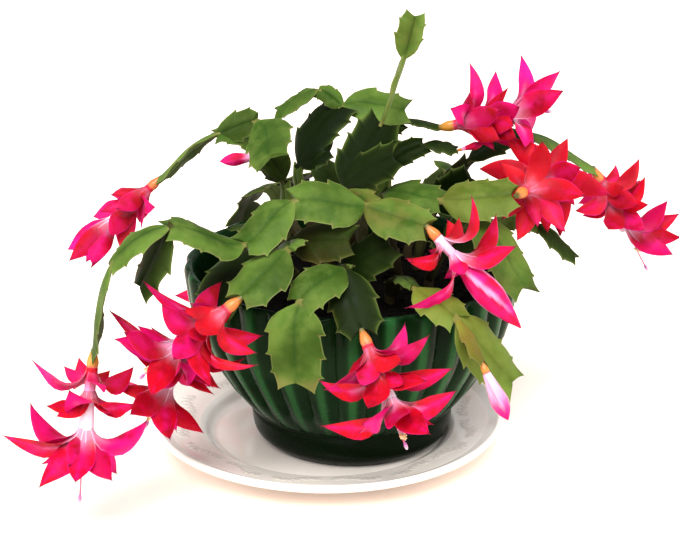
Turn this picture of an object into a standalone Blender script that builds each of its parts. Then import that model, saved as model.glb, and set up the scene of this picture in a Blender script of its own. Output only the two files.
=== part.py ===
"""A Christmas cactus in bloom, in a fluted green bowl that stands on a china saucer.

Metres, +Z up. The origin is where the bowl's axis meets the surface that the saucer stands on,
and the side that the plant is shown from faces -Y. Each rooted stem is one node with all its
branches. Each bloom is a corolla, the ovary that carries it and the style with its stamens.
"""

import math
import random

import bmesh
import bpy
from mathutils import Matrix, Vector

MM = 0.001
CLEARANCE = 0.3 * MM  # left between two nodes that touch

# Saucer
SAUCER_RADIUS = 99.5 * MM
SAUCER_OFFSET = -14.0 * MM  # the bowl stands off the saucer's middle
SAUCER_FLOOR = 5.0 * MM
SAUCER_WELL_RADIUS = 65.5 * MM
SAUCER_FOOT_RADIUS = 60.0 * MM
SAUCER_STEPS = 32

# Bowl
BOWL_BASE = SAUCER_FLOOR + CLEARANCE
BOWL_HEIGHT = 103.0 * MM
BOWL_RADIUS = 93.0 * MM
FOOT_RADIUS = 57.0 * MM
FOOT_HEIGHT = 21.0 * MM
LOBES = 30
POINTS_PER_LOBE = 3
LOBE_DEPTH = 3.2 * MM
WALL = 5.0 * MM
BOWL_FLOOR = 9.0 * MM
INSIDE_STEPS = 22

# Soil
SOIL_DEPTH_BELOW_RIM = 16.0 * MM
SOIL_MOUND = 5.0 * MM
SOIL_ROUGHNESS = 1.6 * MM
SOIL_TOP = BOWL_BASE + BOWL_HEIGHT - SOIL_DEPTH_BELOW_RIM

# Stems
ROOT_RADIUS = 3.0 * MM
ROOT_DEPTH = 12.0 * MM
HOLE_SIDES = 6
SEGMENT_THICKNESS = 2.8 * MM
WIDEST_SEGMENT = 32.0 * MM
WIDTH_TO_LENGTH = 0.76
WOODY_WIDTH = 11.0 * MM  # the lowest segment of a stem, grown narrow and thick
APEX_DIP = 0.05  # how far a segment's end dips between its horns, as a share of its length
SEGMENT_ARCH = 0.14  # how far the edges fall below the midrib, per half width
NECK_SUNK = 2.2 * MM  # how far a side branch starts inside the segment that bears it
LIGHT_LEAN = 30.0 * MM
SHARP_TURN = 0.76  # a branch is broken in two solids where its face turns further than this cosine

# Blooms
OVARY_LENGTH = 6.5 * MM
OVARY_RADII = (1.8 * MM, 2.9 * MM)
OVARY_SEAT = 0.95 * MM  # from the bottom of that dip
OVARY_ASIDE = 2.2 * MM
TUBE_LENGTH = 33.0 * MM
TUBE_RADII = (2.8 * MM, 2.7 * MM, 4.0 * MM)
TUBE_SIDES = 5
TEPAL_THICKNESS = 1.0 * MM
TEPAL_CUP = 0.16  # how far a tepal's edges rise above its midrib, per half width
BUD_LENGTH = 27.0 * MM
BUD_RADIUS = 4.7 * MM
STYLE_LENGTH = 26.0 * MM
STYLE_RADIUS = 0.6 * MM
STAMEN_LENGTH = 15.0 * MM
STAMEN_RADII = (1.9 * MM, 1.5 * MM, 0.9 * MM)

# The tepals of a bloom, in tiers: how far along the tube they grow, their length and width
TIERS = (
    (1.5 * MM, 28.0 * MM, 12.0 * MM),
    (11.0 * MM, 31.0 * MM, 13.0 * MM),
    (27.0 * MM, 35.0 * MM, 14.0 * MM),
)
TEPAL_START = 14.0  # the angle, in degrees, at which a tepal leaves the tube
TEPAL_BEND = 0.13  # how much further its end curls, as a share of its opening
TEPAL_TURN = 36.0  # the most that a tepal's blade turns about its length
TURNED_BY = 0.5  # how far along it that turn is complete
LIGHT_WAY = (0.0, -0.94, 0.34)  # the way that the blades turn to face
TEPAL_SEAT = 2.4 * MM  # how far from the tube's axis a tepal starts
# Along a tepal: share of its length, and share of its half width
TEPAL_OUTLINE = ((0.00, 0.26), (0.38, 1.00), (0.74, 0.72))

MATERIALS = {
    "china": ((0.86, 0.83, 0.78), 0.25),
    "green_glaze": ((0.010, 0.060, 0.025), 0.16),
    "soil": ((0.030, 0.020, 0.013), 0.95),
    "cactus_green": ((0.110, 0.230, 0.040), 0.45),
    "ovary_orange": ((0.640, 0.240, 0.060), 0.45),
    "petal_red": ((0.800, 0.015, 0.090), 0.50),
    "stamen_cream": ((0.850, 0.550, 0.480), 0.50),
}

# One half of a segment's outline, from its neck to its horn:
# (place on the midrib or None, place on the edge, half width), as shares of its length and half
# width. Each tooth is a tip and the notch after it, and it leans towards the segment's end.
TOOTHED = (
    (0.00, 0.00, 0.16),
    (None, 0.13, 0.62),
    (0.26, 0.38, 1.00),
    (None, 0.42, 0.83),
    (0.52, 0.64, 1.00),
    (None, 0.68, 0.83),
    (0.76, 0.88, 0.90),
    (None, 0.91, 0.72),
    (1.00 - APEX_DIP, 1.09, 0.62),
)
YOUNG = (
    (0.00, 0.00, 0.16),
    (None, 0.18, 0.70),
    (0.42, 0.52, 1.00),
    (None, 0.57, 0.82),
    (0.72, 0.84, 0.92),
    (None, 0.88, 0.72),
    (1.00 - APEX_DIP, 1.08, 0.64),
)
PLAIN = (
    (0.02, 0.02, 0.40),
    (0.42, 0.42, 1.00),
    (1.00 - APEX_DIP, 1.02, 0.60),
)
BEARING_HORN = (1.00 - APEX_DIP, 1.04, 0.50)  # in place of the last, where a bloom or bud grows

# Where each stem stands in the soil, and its branches, in millimetres. A branch is the joints
# that it passes, and the segment that ends at a joint may state a turn about its own length,
# in degrees. The first branch starts at the root, and each other one at a joint of the stem.
STEMS = {
    "left_low": (
        (-14, -16),
        [
            [(-14, -20, 128), (-5, -36, 158), (6, -58, 158), (-31, -66, 163), (-56, -84, 146),
             (-92, -98, 160, 30), (-120, -106, 143, 20), (-131, -110, 96, 40)],
            [(6, -58, 158), (39, -73, 151)],
            [(-92, -98, 160), (-108, -94, 126)],
        ],
    ),
    "front_left": (
        (-30, -24),
        [
            [(-36, -36, 122), (-33, -58, 138), (-34, -82, 142), (-58, -106, 124)],
            [(-36, -36, 122), (-56, -58, 132), (-78, -88, 103)],
            [(-33, -58, 138), (-1, -72, 145)],
        ],
    ),
    "front_centre": (
        (-6, -40),
        [
            [(-8, -54, 118), (-5, -79, 131), (-27, -102, 121), (-29, -108, 79)],
            [(-5, -79, 131), (5, -104, 105)],
            [(-8, -54, 118), (20, -58, 138)],
        ],
    ),
    "front_right": (
        (20, -34),
        [
            [(24, -52, 116), (32, -76, 119), (53, -97, 110), (65, -113, 92, -40)],
            [(53, -97, 110), (83, -88, 71)],
        ],
    ),
    "right_low": (
        (42, -14),
        [
            [(50, -26, 124), (64, -40, 146), (90, -64, 114)],
            [(50, -26, 124), (76, -12, 134), (100, -14, 133), (121, -20, 116)],
            [(50, -26, 124), (50, -58, 130)],
        ],
    ),
    "right_mid": (
        (26, -6),
        [
            [(20, -10, 128), (17, -22, 153), (47, -42, 156), (86, -45, 160)],
            [(20, -10, 128), (36, -28, 146)],
        ],
    ),
    "right_back": (
        (36, 18),
        [
            [(46, 22, 130), (66, 30, 157), (97, 36, 170), (137, 30, 150)],
            [(46, 22, 130), (78, 28, 140), (118, 22, 137)],
            [(46, 22, 130), (66, 6, 154)],
        ],
    ),
    "right_high": (
        (14, 12),
        [
            [(16, 10, 130), (22, 10, 160), (40, 14, 170), (58, 14, 167)],
        ],
    ),
    "top_right": (
        (6, 30),
        [
            [(8, 34, 132), (10, 34, 164), (26, 26, 180), (49, 14, 180)],
        ],
    ),
    "top": (
        (-2, 0),
        [
            [(-2, -8, 128), (-4, -18, 156), (22, -26, 176)],
            [(-4, -18, 156), (16, -10, 190), (27, -8, 224, 75), (33, -4, 247)],
        ],
    ),
    "top_left": (
        (-20, 10),
        [
            [(-24, 10, 130), (-29, 6, 161), (-5, 14, 192), (30, 12, 190)],
            [(-5, 14, 192), (-19, 20, 199), (-42, 24, 186)],
            [(-29, 6, 161), (-12, -2, 172)],
        ],
    ),
    "left_high": (
        (-38, -4),
        [
            [(-36, -8, 128), (-37, -12, 158), (-50, -18, 178), (-72, -28, 188), (-103, -36, 165, 40)],
            [(-72, -28, 188), (-50, -32, 196, 30), (-42, -69, 187)],
            [(-37, -12, 158), (-48, 4, 166)],
        ],
    ),
    "back_left": (
        (-26, 32),
        [
            [(-36, 44, 118), (-48, 68, 128), (-62, 92, 112), (-70, 106, 76)],
            [(-48, 68, 128), (-24, 84, 130)],
            [(-36, 44, 118), (-68, 38, 114)],
        ],
    ),
    "back": (
        (4, 42),
        [
            [(4, 52, 122), (2, 72, 142), (6, 98, 136), (8, 116, 98)],
            [(2, 72, 142), (28, 84, 148)],
            [(4, 52, 122), (-18, 56, 146)],
        ],
    ),
    "back_right": (
        (32, 36),
        [
            [(40, 50, 124), (54, 68, 138), (62, 96, 128), (62, 108, 92)],
            [(54, 68, 138), (80, 78, 122)],
        ],
    ),
}

# Each open bloom: the stem whose tip carries it, the branch of that stem, the way it points, its
# size, how far its style stands out, and its tepals in three tiers. A tepal is the side that it
# grows on and how far it opens, both in degrees, and its share of the tier's length. Side 0 is the
# one that faces -Y, and the sides turn about the bloom's way. With no upper tier it is furled.
BLOOMS = {
    "lower_left": ("left_low", 0, (-0.10, -0.34, -0.94), 1.06, 1.2, (
        ((160, 125, 1.1), (90, 120, 1.15), (230, 120, 1.0)),
        ((65, 80, 0.7), (300, 105, 0.85), (20, 115, 0.8), (260, 95, 0.8)),
        ((85, 95, 1.2), (110, 125, 1.1), (40, 50, 1.1), (0, 50, 1.0), (215, 55, 1.0), (270, 120, 1.0), (320, 50, 0.95)),
    )),
    "left_front": ("front_left", 0, (-0.80, -0.22, -0.56), 1.05, 0.8, (
        ((165, 130, 1.1), (245, 130, 1.2), (10, 70, 1.0), (105, 65, 1.45)),
        ((60, 80, 1.0), (325, 75, 1.2), (285, 125, 1.2)),
        ((115, 75, 1.1), (55, 75, 1.0), (150, 45, 0.95), (350, 55, 1.0)),
    )),
    "left_under": ("front_left", 1, (-0.50, -0.30, -0.81), 1.0, 0.8, (
        ((275, 120, 1.15), (315, 75, 1.2), (130, 95, 1.0)),
        ((80, 85, 0.95), (230, 90, 1.0), (345, 110, 0.85)),
        ((335, 55, 1.0), (140, 80, 1.0), (285, 80, 0.9), (25, 65, 1.0), (215, 50, 1.0)),
    )),
    "front": ("front_centre", 1, (0.35, -0.60, -0.72), 1.05, 0.8, (
        ((260, 130, 0.9), (285, 90, 1.2), (320, 60, 1.0), (145, 120, 0.9), (65, 75, 1.1)),
        ((70, 115, 1.05), (15, 50, 1.1), (260, 80, 1.2)),
        ((25, 75, 0.9), (350, 65, 1.0), (320, 40, 1.0), (245, 95, 1.0), (65, 105, 1.1)),
    )),
    "left_back": ("left_high", 0, (-0.74, -0.20, -0.64), 0.90, 0.7, (
        ((145, 45, 0.9), (340, 100, 0.8), (235, 40, 0.8)),
        ((355, 45, 1.0), (320, 40, 1.0), (155, 30, 1.0)),
        ((10, 30, 1.1), (345, 45, 1.0), (170, 20, 1.1), (215, 25, 1.0), (285, 20, 0.9)),
    )),
    "top_right": ("top_right", 0, (0.98, -0.05, 0.20), 1.05, 0.7, (
        ((315, 120, 0.7), (250, 80, 1.2), (335, 45, 1.1), (20, 50, 1.0), (65, 45, 0.8)),
        ((225, 75, 1.0), (335, 40, 1.0), (20, 55, 0.9), (75, 50, 0.7)),
        ((235, 80, 1.0), (260, 30, 1.0), (320, 30, 1.0), (50, 80, 0.6), (140, 80, 0.9)),
    )),
    "right": ("right_mid", 0, (0.50, 0.86, -0.02), 1.05, 0.8, (
        ((145, 130, 0.95), (90, 125, 1.1), (40, 105, 1.1), (285, 110, 1.1), (355, 105, 1.2)),
        ((190, 120, 1.15), (330, 110, 1.0), (80, 75, 1.0)),
        ((15, 70, 1.0), (210, 100, 1.0), (75, 100, 1.0)),
    )),
    "right_back": ("right_back", 0, (0.50, 0.00, -0.86), 1.0, 1.1, (
        ((175, 130, 1.1), (50, 105, 1.0), (255, 110, 1.0)),
        ((215, 110, 1.0), (265, 110, 0.8), (15, 100, 1.1)),
        ((270, 105, 0.85), (255, 75, 1.0), (300, 60, 1.0), (320, 45, 1.0)),
    )),
    "half_open": ("left_low", 1, (0.68, -0.25, -0.69), 1.0, 0.0, (
        ((255, 125, 1.2), (195, 125, 1.0), (45, 125, 0.85), (95, 130, 0.85)),
        ((250, 110, 1.1), (285, 70, 1.1), (58, 103, 1.35)),
        (),
    )),
    "back_left": ("back_left", 0, (-0.20, 0.45, -0.87), 1.0, 1.0, (
        ((0, 95, 1.0), (120, 100, 1.0), (240, 90, 1.05)),
        ((60, 75, 1.0), (300, 75, 1.0)),
        ((20, 65, 1.0), (90, 70, 1.05), (160, 60, 1.0), (235, 75, 1.0), (305, 65, 0.95)),
    )),
    "back_right": ("back_right", 0, (0.10, 0.30, -0.95), 1.0, 1.0, (
        ((30, 95, 1.0), (150, 90, 1.0), (270, 100, 1.05)),
        ((210, 75, 1.0), (330, 85, 1.0)),
        ((0, 60, 1.0), (75, 70, 1.0), (145, 65, 1.05), (220, 60, 1.0), (290, 75, 0.95)),
    )),
}
# Each bud: its stem and branch, the way it points, and its size
BUDS = {
    "front_right": ("front_right", 0, (0.42, -0.35, -0.84), 0.95),
    "right_high": ("right_high", 0, (0.85, -0.20, 0.30), 0.45),
    "left_high": ("left_high", 2, (-0.97, -0.10, -0.10), 0.75),
}


def material(name):
    """The named material, made once."""
    found = bpy.data.materials.get(name)
    if found:
        return found
    colour, roughness = MATERIALS[name]
    made = bpy.data.materials.new(name)
    made.use_nodes = True
    shader = made.node_tree.nodes["Principled BSDF"]
    shader.inputs["Base Color"].default_value = (*colour, 1.0)
    shader.inputs["Roughness"].default_value = roughness
    made.diffuse_color = (*colour, 1.0)
    return made


def clear_scene():
    for obj in list(bpy.data.objects):
        bpy.data.objects.remove(obj)


def add_object(name, mesh, collection):
    obj = bpy.data.objects.new(name, mesh)
    collection.objects.link(obj)
    return obj


def finish_node(obj, material_name):
    """Gives a node its material and smooth shading with sharp creases."""
    obj.data.materials.clear()
    obj.data.materials.append(material(material_name))
    obj.data.shade_smooth()
    obj.data.set_sharp_from_angle(angle=math.radians(40))
    return obj


def applied(obj, name, collection):
    """Replaces an object by the mesh that its modifiers or its bevel make."""
    graph = bpy.context.evaluated_depsgraph_get()
    mesh = bpy.data.meshes.new_from_object(obj.evaluated_get(graph))
    matrix = obj.matrix_world.copy()
    bpy.data.objects.remove(obj)
    made = add_object(name, mesh, collection)
    made.matrix_world = matrix
    return made


def turned(name, profile, steps, collection):
    """A solid turned about Z from (radius, height) points that run down its outer side."""
    mesh = bpy.data.meshes.new(name)
    edges = [(i, i + 1) for i in range(len(profile) - 1)]
    mesh.from_pydata([(r, 0.0, z) for r, z in profile], edges, [])
    obj = add_object(name, mesh, collection)
    screw = obj.modifiers.new("turn", "SCREW")
    screw.steps = steps
    screw.render_steps = steps
    screw.use_merge_vertices = True
    screw.merge_threshold = 0.00001
    return applied(obj, name, collection)


def spindle(name, base, way, rings, sides, collection):
    """A round solid about an axis, from (distance along it, radius) rings."""
    way = way.normalized()
    across = way.orthogonal().normalized()
    other = way.cross(across)
    work = bmesh.new()
    loops = []
    for distance, radius in rings:
        centre = base + way * distance
        angles = [math.tau * k / sides for k in range(sides)]
        loops.append([work.verts.new(centre + (across * math.cos(a) + other * math.sin(a)) * radius)
                      for a in angles])
    for low, high in zip(loops, loops[1:]):
        for k in range(sides):
            work.faces.new((low[k], low[(k + 1) % sides], high[(k + 1) % sides], high[k]))
    work.faces.new(loops[0])
    work.faces.new(loops[-1])
    bmesh.ops.recalc_face_normals(work, faces=work.faces)
    mesh = bpy.data.meshes.new(name)
    work.to_mesh(mesh)
    work.free()
    return add_object(name, mesh, collection)


def blade(name, rings, collection, tip=None):
    """A thin leaf-like solid lofted through rings of left edge, upper middle, right edge and
    lower middle. A ring between two others may have edges only, with None for its middles.
    The upper and the lower face are split into triangles alike."""
    work = bmesh.new()
    loops = [[p and work.verts.new(p) for p in ring] for ring in rings]
    for face in (1, 3):
        for side in (0, 2):
            edge, middle = loops[0][side], loops[0][face]
            for ring in loops[1:]:
                work.faces.new((edge, middle, ring[side]))
                edge = ring[side]
                if ring[face]:
                    work.faces.new((middle, ring[face], edge))
                    middle = ring[face]
    left, upper, right, lower = loops[0]
    work.faces.new((left, upper, lower))
    work.faces.new((right, upper, lower))
    left, upper, right, lower = loops[-1]
    if tip is None:
        work.faces.new((left, upper, lower))
        work.faces.new((right, upper, lower))
    else:
        point = work.verts.new(tip)
        for a, b in ((left, upper), (upper, right), (right, lower), (lower, left)):
            work.faces.new((a, b, point))
    bmesh.ops.recalc_face_normals(work, faces=work.faces)
    mesh = bpy.data.meshes.new(name)
    work.to_mesh(mesh)
    work.free()
    return add_object(name, mesh, collection)


def boolean(obj, others, operation, collection):
    """Joins other solids to an object, or cuts them from it, and removes them."""
    helpers = bpy.data.collections.new("helpers")
    bpy.context.scene.collection.children.link(helpers)
    for other in others:
        for home in list(other.users_collection):
            home.objects.unlink(other)
        helpers.objects.link(other)
    modifier = obj.modifiers.new(operation.lower(), "BOOLEAN")
    modifier.operation = operation
    modifier.operand_type = "COLLECTION"
    modifier.collection = helpers
    modifier.solver = "EXACT" if operation == "DIFFERENCE" else "MANIFOLD"
    made = applied(obj, obj.name, collection)
    for other in others:
        bpy.data.objects.remove(other)
    bpy.data.collections.remove(helpers)
    return made


def saucer(collection):
    """A china plate with a flat foot, a round well, a wide rim and a rolled lip."""
    profile = [
        (0.0, SAUCER_FLOOR),
        (SAUCER_WELL_RADIUS, SAUCER_FLOOR),
        (SAUCER_WELL_RADIUS + 4.0 * MM, SAUCER_FLOOR + 4.2 * MM),
        (SAUCER_WELL_RADIUS + 7.0 * MM, SAUCER_FLOOR + 5.6 * MM),
        (SAUCER_RADIUS - 8.0 * MM, SAUCER_FLOOR + 9.6 * MM),
        (SAUCER_RADIUS - 1.6 * MM, SAUCER_FLOOR + 12.6 * MM),
        (SAUCER_RADIUS, SAUCER_FLOOR + 11.2 * MM),
        (SAUCER_RADIUS - 1.0 * MM, SAUCER_FLOOR + 8.6 * MM),
        (SAUCER_RADIUS - 12.0 * MM, SAUCER_FLOOR + 3.2 * MM),
        (SAUCER_FOOT_RADIUS + 8.0 * MM, 1.6 * MM),
        (SAUCER_FOOT_RADIUS, 0.0),
        (0.0, 0.0),
    ]
    obj = turned("saucer", profile, SAUCER_STEPS, collection)
    obj.location.x = SAUCER_OFFSET
    return finish_node(obj, "china")


def bowl_outline():
    """The bowl's outer (radius, height, lobe depth), from its foot to its rim."""
    return [
        (FOOT_RADIUS - 8.0 * MM, 0.0, 0.0),
        (FOOT_RADIUS - 1.8 * MM, 6.0 * MM, 0.0),
        (FOOT_RADIUS, FOOT_HEIGHT - 1.0 * MM, 0.0),
        (FOOT_RADIUS + 2.5 * MM, FOOT_HEIGHT + 1.5 * MM, 0.3 * LOBE_DEPTH),
        (FOOT_RADIUS + 14.0 * MM, FOOT_HEIGHT + 16.0 * MM, 0.8 * LOBE_DEPTH),
        (BOWL_RADIUS - 5.5 * MM, FOOT_HEIGHT + 47.0 * MM, LOBE_DEPTH),
        (BOWL_RADIUS, BOWL_HEIGHT - 5.0 * MM, LOBE_DEPTH),
        (BOWL_RADIUS - 1.4 * MM, BOWL_HEIGHT, LOBE_DEPTH),
    ]


def inside_outline(gap=0.0):
    """The bowl's inner (radius, height) from its rim to its floor, or the soil's, a gap inside."""
    wall = WALL + gap
    return [
        (BOWL_RADIUS - 1.5 * MM - wall, BOWL_HEIGHT),
        (BOWL_RADIUS - 7.0 * MM - wall, FOOT_HEIGHT + 47.0 * MM),
        (FOOT_RADIUS + 11.5 * MM - wall, FOOT_HEIGHT + 16.0 * MM),
        (FOOT_RADIUS - 6.0 * MM - wall, BOWL_FLOOR + gap),
        (0.0, BOWL_FLOOR + gap),
    ]


def bowl(collection):
    """A bowl with rounded lobes all round, on a plain round foot."""
    outline = bowl_outline()
    profile = [(0.0, BOWL_HEIGHT)] + [(r, z) for r, z, _ in reversed(outline)] + [(0.0, 0.0)]
    obj = turned("bowl", profile, LOBES * POINTS_PER_LOBE, collection)
    for vertex in obj.data.vertices:
        radius = math.hypot(vertex.co.x, vertex.co.y)
        depths = [d for r, z, d in outline if math.isclose(r, radius, abs_tol=1e-6)
                  and math.isclose(z, vertex.co.z, abs_tol=1e-6)]
        if depths:
            angle = math.atan2(vertex.co.y, vertex.co.x)
            groove = depths[0] * (1.0 - abs(math.sin(angle * LOBES / 2)) ** 0.7)
            vertex.co.xy *= (radius - groove) / radius
    inside = [(0.0, BOWL_HEIGHT + WALL), (BOWL_RADIUS - 1.3 * MM - WALL, BOWL_HEIGHT + WALL)]
    hollow = turned("hollow", inside + inside_outline(), INSIDE_STEPS, collection)
    obj = boolean(obj, [hollow], "DIFFERENCE", collection)
    obj.location.z = BOWL_BASE
    return finish_node(obj, "green_glaze")


def soil_height(x, y):
    """The soil's top at a place, mounded in the middle and rough."""
    radius = math.hypot(x, y) / BOWL_RADIUS
    bumps = math.sin(0.31 * x / MM + 1.0) * math.cos(0.27 * y / MM) + math.sin(0.17 * (x - y) / MM)
    return SOIL_TOP + SOIL_MOUND * (1.0 - radius**2) + SOIL_ROUGHNESS * 0.5 * bumps


def soil(collection):
    """The soil that fills the bowl, with a plain hole for each stem."""
    sides = inside_outline(CLEARANCE)
    edge_height = SOIL_TOP - BOWL_BASE
    (upper_r, upper_z), (lower_r, lower_z) = sides[0], sides[1]
    share = (edge_height - lower_z) / (upper_z - lower_z)
    edge_radius = lower_r + (upper_r - lower_r) * share
    top = [(edge_radius * k / 2, edge_height) for k in range(3)]
    obj = turned("soil", top + sides[1:], INSIDE_STEPS, collection)
    obj.location.z = BOWL_BASE
    for vertex in obj.data.vertices:
        radius = math.hypot(vertex.co.x, vertex.co.y)
        if abs(vertex.co.z - edge_height) < 1e-6 and radius < edge_radius - 1e-6:
            vertex.co.z = soil_height(vertex.co.x, vertex.co.y) - BOWL_BASE
    holes = []
    for root, _ in STEMS.values():
        depth = ROOT_DEPTH + CLEARANCE
        base = Vector((root[0] * MM, root[1] * MM, SOIL_TOP - depth))
        radius = ROOT_RADIUS + 2 * CLEARANCE
        rings = ((0.0, radius), (depth + SOIL_MOUND + 4.0 * MM, radius))
        holes.append(spindle("hole", base, Vector((0, 0, 1)), rings, HOLE_SIDES, collection))
    obj = boolean(obj, holes, "DIFFERENCE", collection)
    return finish_node(obj, "soil")


def spline_point(ends, tangents, t):
    """A point and direction on the curved midrib between two joints; past them it runs straight."""
    (a, b), (da, db) = ends, tangents
    if t > 1.0:
        return b + db * (t - 1.0), db.normalized()
    if t < 0.0:
        return a + da * t, da.normalized()
    place = (2 * t**3 - 3 * t**2 + 1) * a + (t**3 - 2 * t**2 + t) * da
    place += (3 * t**2 - 2 * t**3) * b + (t**3 - t**2) * db
    slope = (6 * t**2 - 6 * t) * (a - b) + (3 * t**2 - 4 * t + 1) * da + (3 * t**2 - 2 * t) * db
    return place, slope.normalized()


def joint_tangents(places):
    """The direction of the branch at each joint, for a curve that passes them smoothly."""
    found = []
    for i in range(len(places)):
        before, after = places[max(i - 1, 0)], places[min(i + 1, len(places) - 1)]
        found.append((after - before).normalized())
    return found


def facing_of(start, end, turn):
    """The way a segment's broad face looks: up, out from the bowl and a little to the side that
    the light came from, and turned about its length."""
    chord = end - start
    middle = (start + end) / 2
    outward = Vector((middle.x, middle.y - LIGHT_LEAN, 0.0)).normalized()
    hint = outward + Vector((0.0, 0.0, 1.0))
    normal = (hint - hint.project(chord)).normalized()
    return Matrix.Rotation(math.radians(turn), 3, chord.normalized()) @ normal


def segment_rings(ends, tangents, turn, width, outline, sunk, rng):
    """The rings of one flat segment with toothed edges and a horn at each side of its end."""
    length = (ends[1] - ends[0]).length
    tangents = [t * length for t in tangents]
    normal = facing_of(ends[0], ends[1], turn)
    side = (ends[1] - ends[0]).cross(normal).normalized()
    rings = []
    for place, (on_rib, on_edge, share) in enumerate(outline):
        if place == 0 and sunk:
            on_rib = on_edge = -NECK_SUNK / length
        half = width / 2 * share
        edges = []
        for sign in (-1, 1):
            jitter = rng.uniform(-0.012, 0.012) if 0 < place < len(outline) - 1 else 0.0
            spot, along = spline_point(ends, tangents, on_edge + jitter)
            edges.append(spot + side * sign * half - side.cross(along) * SEGMENT_ARCH * half)
        upper = lower = None
        if on_rib is not None:
            middle, along = spline_point(ends, tangents, on_rib)
            up = side.cross(along).normalized() * SEGMENT_THICKNESS / 2
            upper, lower = middle + up, middle - up
        rings.append((edges[0], upper, edges[1], lower))
    return rings


def segment_width(length, order):
    """How wide a segment is, from its length and its place on the stem."""
    if order == 0:
        return WOODY_WIDTH
    full = min(WIDEST_SEGMENT, WIDTH_TO_LENGTH * length)
    return full * (0.6 if order == 1 else 1.0)


def bears(stem_name, number):
    """Whether a bloom or a bud grows at the end of a branch."""
    return (stem_name, number) in [entry[:2] for entry in (*BLOOMS.values(), *BUDS.values())]


def root_rings(root, side):
    """The round foot of a stem, from under the soil to just above it."""
    rings = []
    across = side.cross(Vector((0, 0, 1)))
    for height in (-ROOT_DEPTH, SOIL_MOUND + 2.0 * MM):
        middle = Vector((root[0] * MM, root[1] * MM, SOIL_TOP + height))
        rings.append((middle - side * ROOT_RADIUS, middle + across * ROOT_RADIUS,
                      middle + side * ROOT_RADIUS, middle - across * ROOT_RADIUS))
    return rings


def stem_parts(name, root, branches, collection):
    """The branches of a stem as separate solids, each broken where it turns sharply."""
    rng = random.Random(name)
    foot = Vector((root[0] * MM, root[1] * MM, SOIL_TOP + SOIL_MOUND + 3.0 * MM))
    parts = []
    for number, branch in enumerate(branches):
        joints = [Vector(joint[:3]) * MM for joint in branch]
        turns = [joint[3] if len(joint) > 3 else 0.0 for joint in branch]
        rings = []
        if number == 0:
            joints.insert(0, foot)
            turns.insert(0, 0.0)
            chord = joints[1] - joints[0]
            side = chord.cross(facing_of(joints[0], joints[1], 0.0))
            rings = root_rings(root, Vector((side.x, side.y, 0.0)).normalized())
        tangents = joint_tangents(joints)
        facing = None
        for i in range(len(joints) - 1):
            order = i if number == 0 else 2
            length = (joints[i + 1] - joints[i]).length
            last = i == len(joints) - 2
            outline = PLAIN if order < 2 and not last else TOOTHED if length > 39 * MM else YOUNG
            if last and bears(name, number):
                outline = outline[:-1] + (BEARING_HORN,)
            before, facing = facing, facing_of(joints[i], joints[i + 1], turns[i + 1])
            if before and before.dot(facing) < SHARP_TURN:
                parts.append(blade(f"{name}_{len(parts)}", rings, collection))
                rings = []
            rings += segment_rings(joints[i : i + 2], tangents[i : i + 2], turns[i + 1],
                                   segment_width(length, order), outline, not rings, rng)
        parts.append(blade(f"{name}_{len(parts)}", rings, collection))
    return parts


def stem(name, collection):
    root, branches = STEMS[name]
    parts = stem_parts(name, root, branches, collection)
    parts[0].name = f"stem_{name}"
    obj = boolean(parts[0], parts[1:], "UNION", collection) if parts[1:] else parts[0]
    return finish_node(obj, "cactus_green")


def tip_of(stem_name, branch_number, way):
    """Where a bloom sits on the end of a branch, further out where it points aside."""
    end = Vector(STEMS[stem_name][1][branch_number][-1][:3]) * MM
    before = Vector(STEMS[stem_name][1][branch_number][-2][:3]) * MM
    along = (end - before).normalized()
    dip = end - (end - before) * APEX_DIP
    return dip + along * (OVARY_SEAT + OVARY_ASIDE * (1.0 - along.dot(way)))


def ovary(name, base, way, size, collection):
    low, high = OVARY_RADII
    length = OVARY_LENGTH
    rings = ((0.0, low * 0.45), (0.5 * length, high), (length, low * 1.2))
    rings = [(s * size, r * size) for s, r in rings]
    obj = spindle(f"ovary_{name}", base, way, rings, TUBE_SIDES, collection)
    return finish_node(obj, "ovary_orange")


def turn_to_light(way, outward, angle):
    """How far a tepal's blade turns about its own length, so that a broad face meets the light."""
    ahead = way * math.cos(angle) + outward * math.sin(angle)
    inner = way * math.sin(angle) - outward * math.cos(angle)
    light = Vector(LIGHT_WAY) - Vector(LIGHT_WAY).project(ahead)
    if light.dot(inner) < 0.0:
        light.negate()
    turn = min(inner.angle(light), math.radians(TEPAL_TURN))
    return math.copysign(turn, ahead.dot(inner.cross(light)))


def tepal(name, base, way, outward, length, width, start_angle, open_angle, bend, collection):
    """One tepal: a thin pointed blade that leaves the tube, turns and curves away from it."""
    side = way.cross(outward)
    turn = turn_to_light(way, outward, open_angle)
    half_thick = TEPAL_THICKNESS / 2
    rings, place, reached = [], base.copy(), 0.0
    for at, share in TEPAL_OUTLINE + ((1.0, 0.0),):
        middle = (at + reached) / 2
        angle = start_angle + (open_angle - start_angle) * min(1.0, middle * 1.7) + bend * middle**2
        ahead = way * math.cos(angle) + outward * math.sin(angle)
        place = place + ahead * (at - reached) * length
        reached = at
        if at == 1.0:
            break
        inner = way * math.sin(angle) - outward * math.cos(angle)
        half = width / 2 * share
        thick = half_thick * (1.0 if at < 0.8 else 0.8)
        spin = Matrix.Rotation(turn * min(1.0, at / TURNED_BY), 3, ahead)
        across, inner = spin @ side * half, spin @ inner
        lift = inner * TEPAL_CUP * half
        rings.append((place - across + lift, place + inner * thick,
                      place + across + lift, place - inner * thick))
    return blade(name, rings, collection, tip=place)


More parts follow.
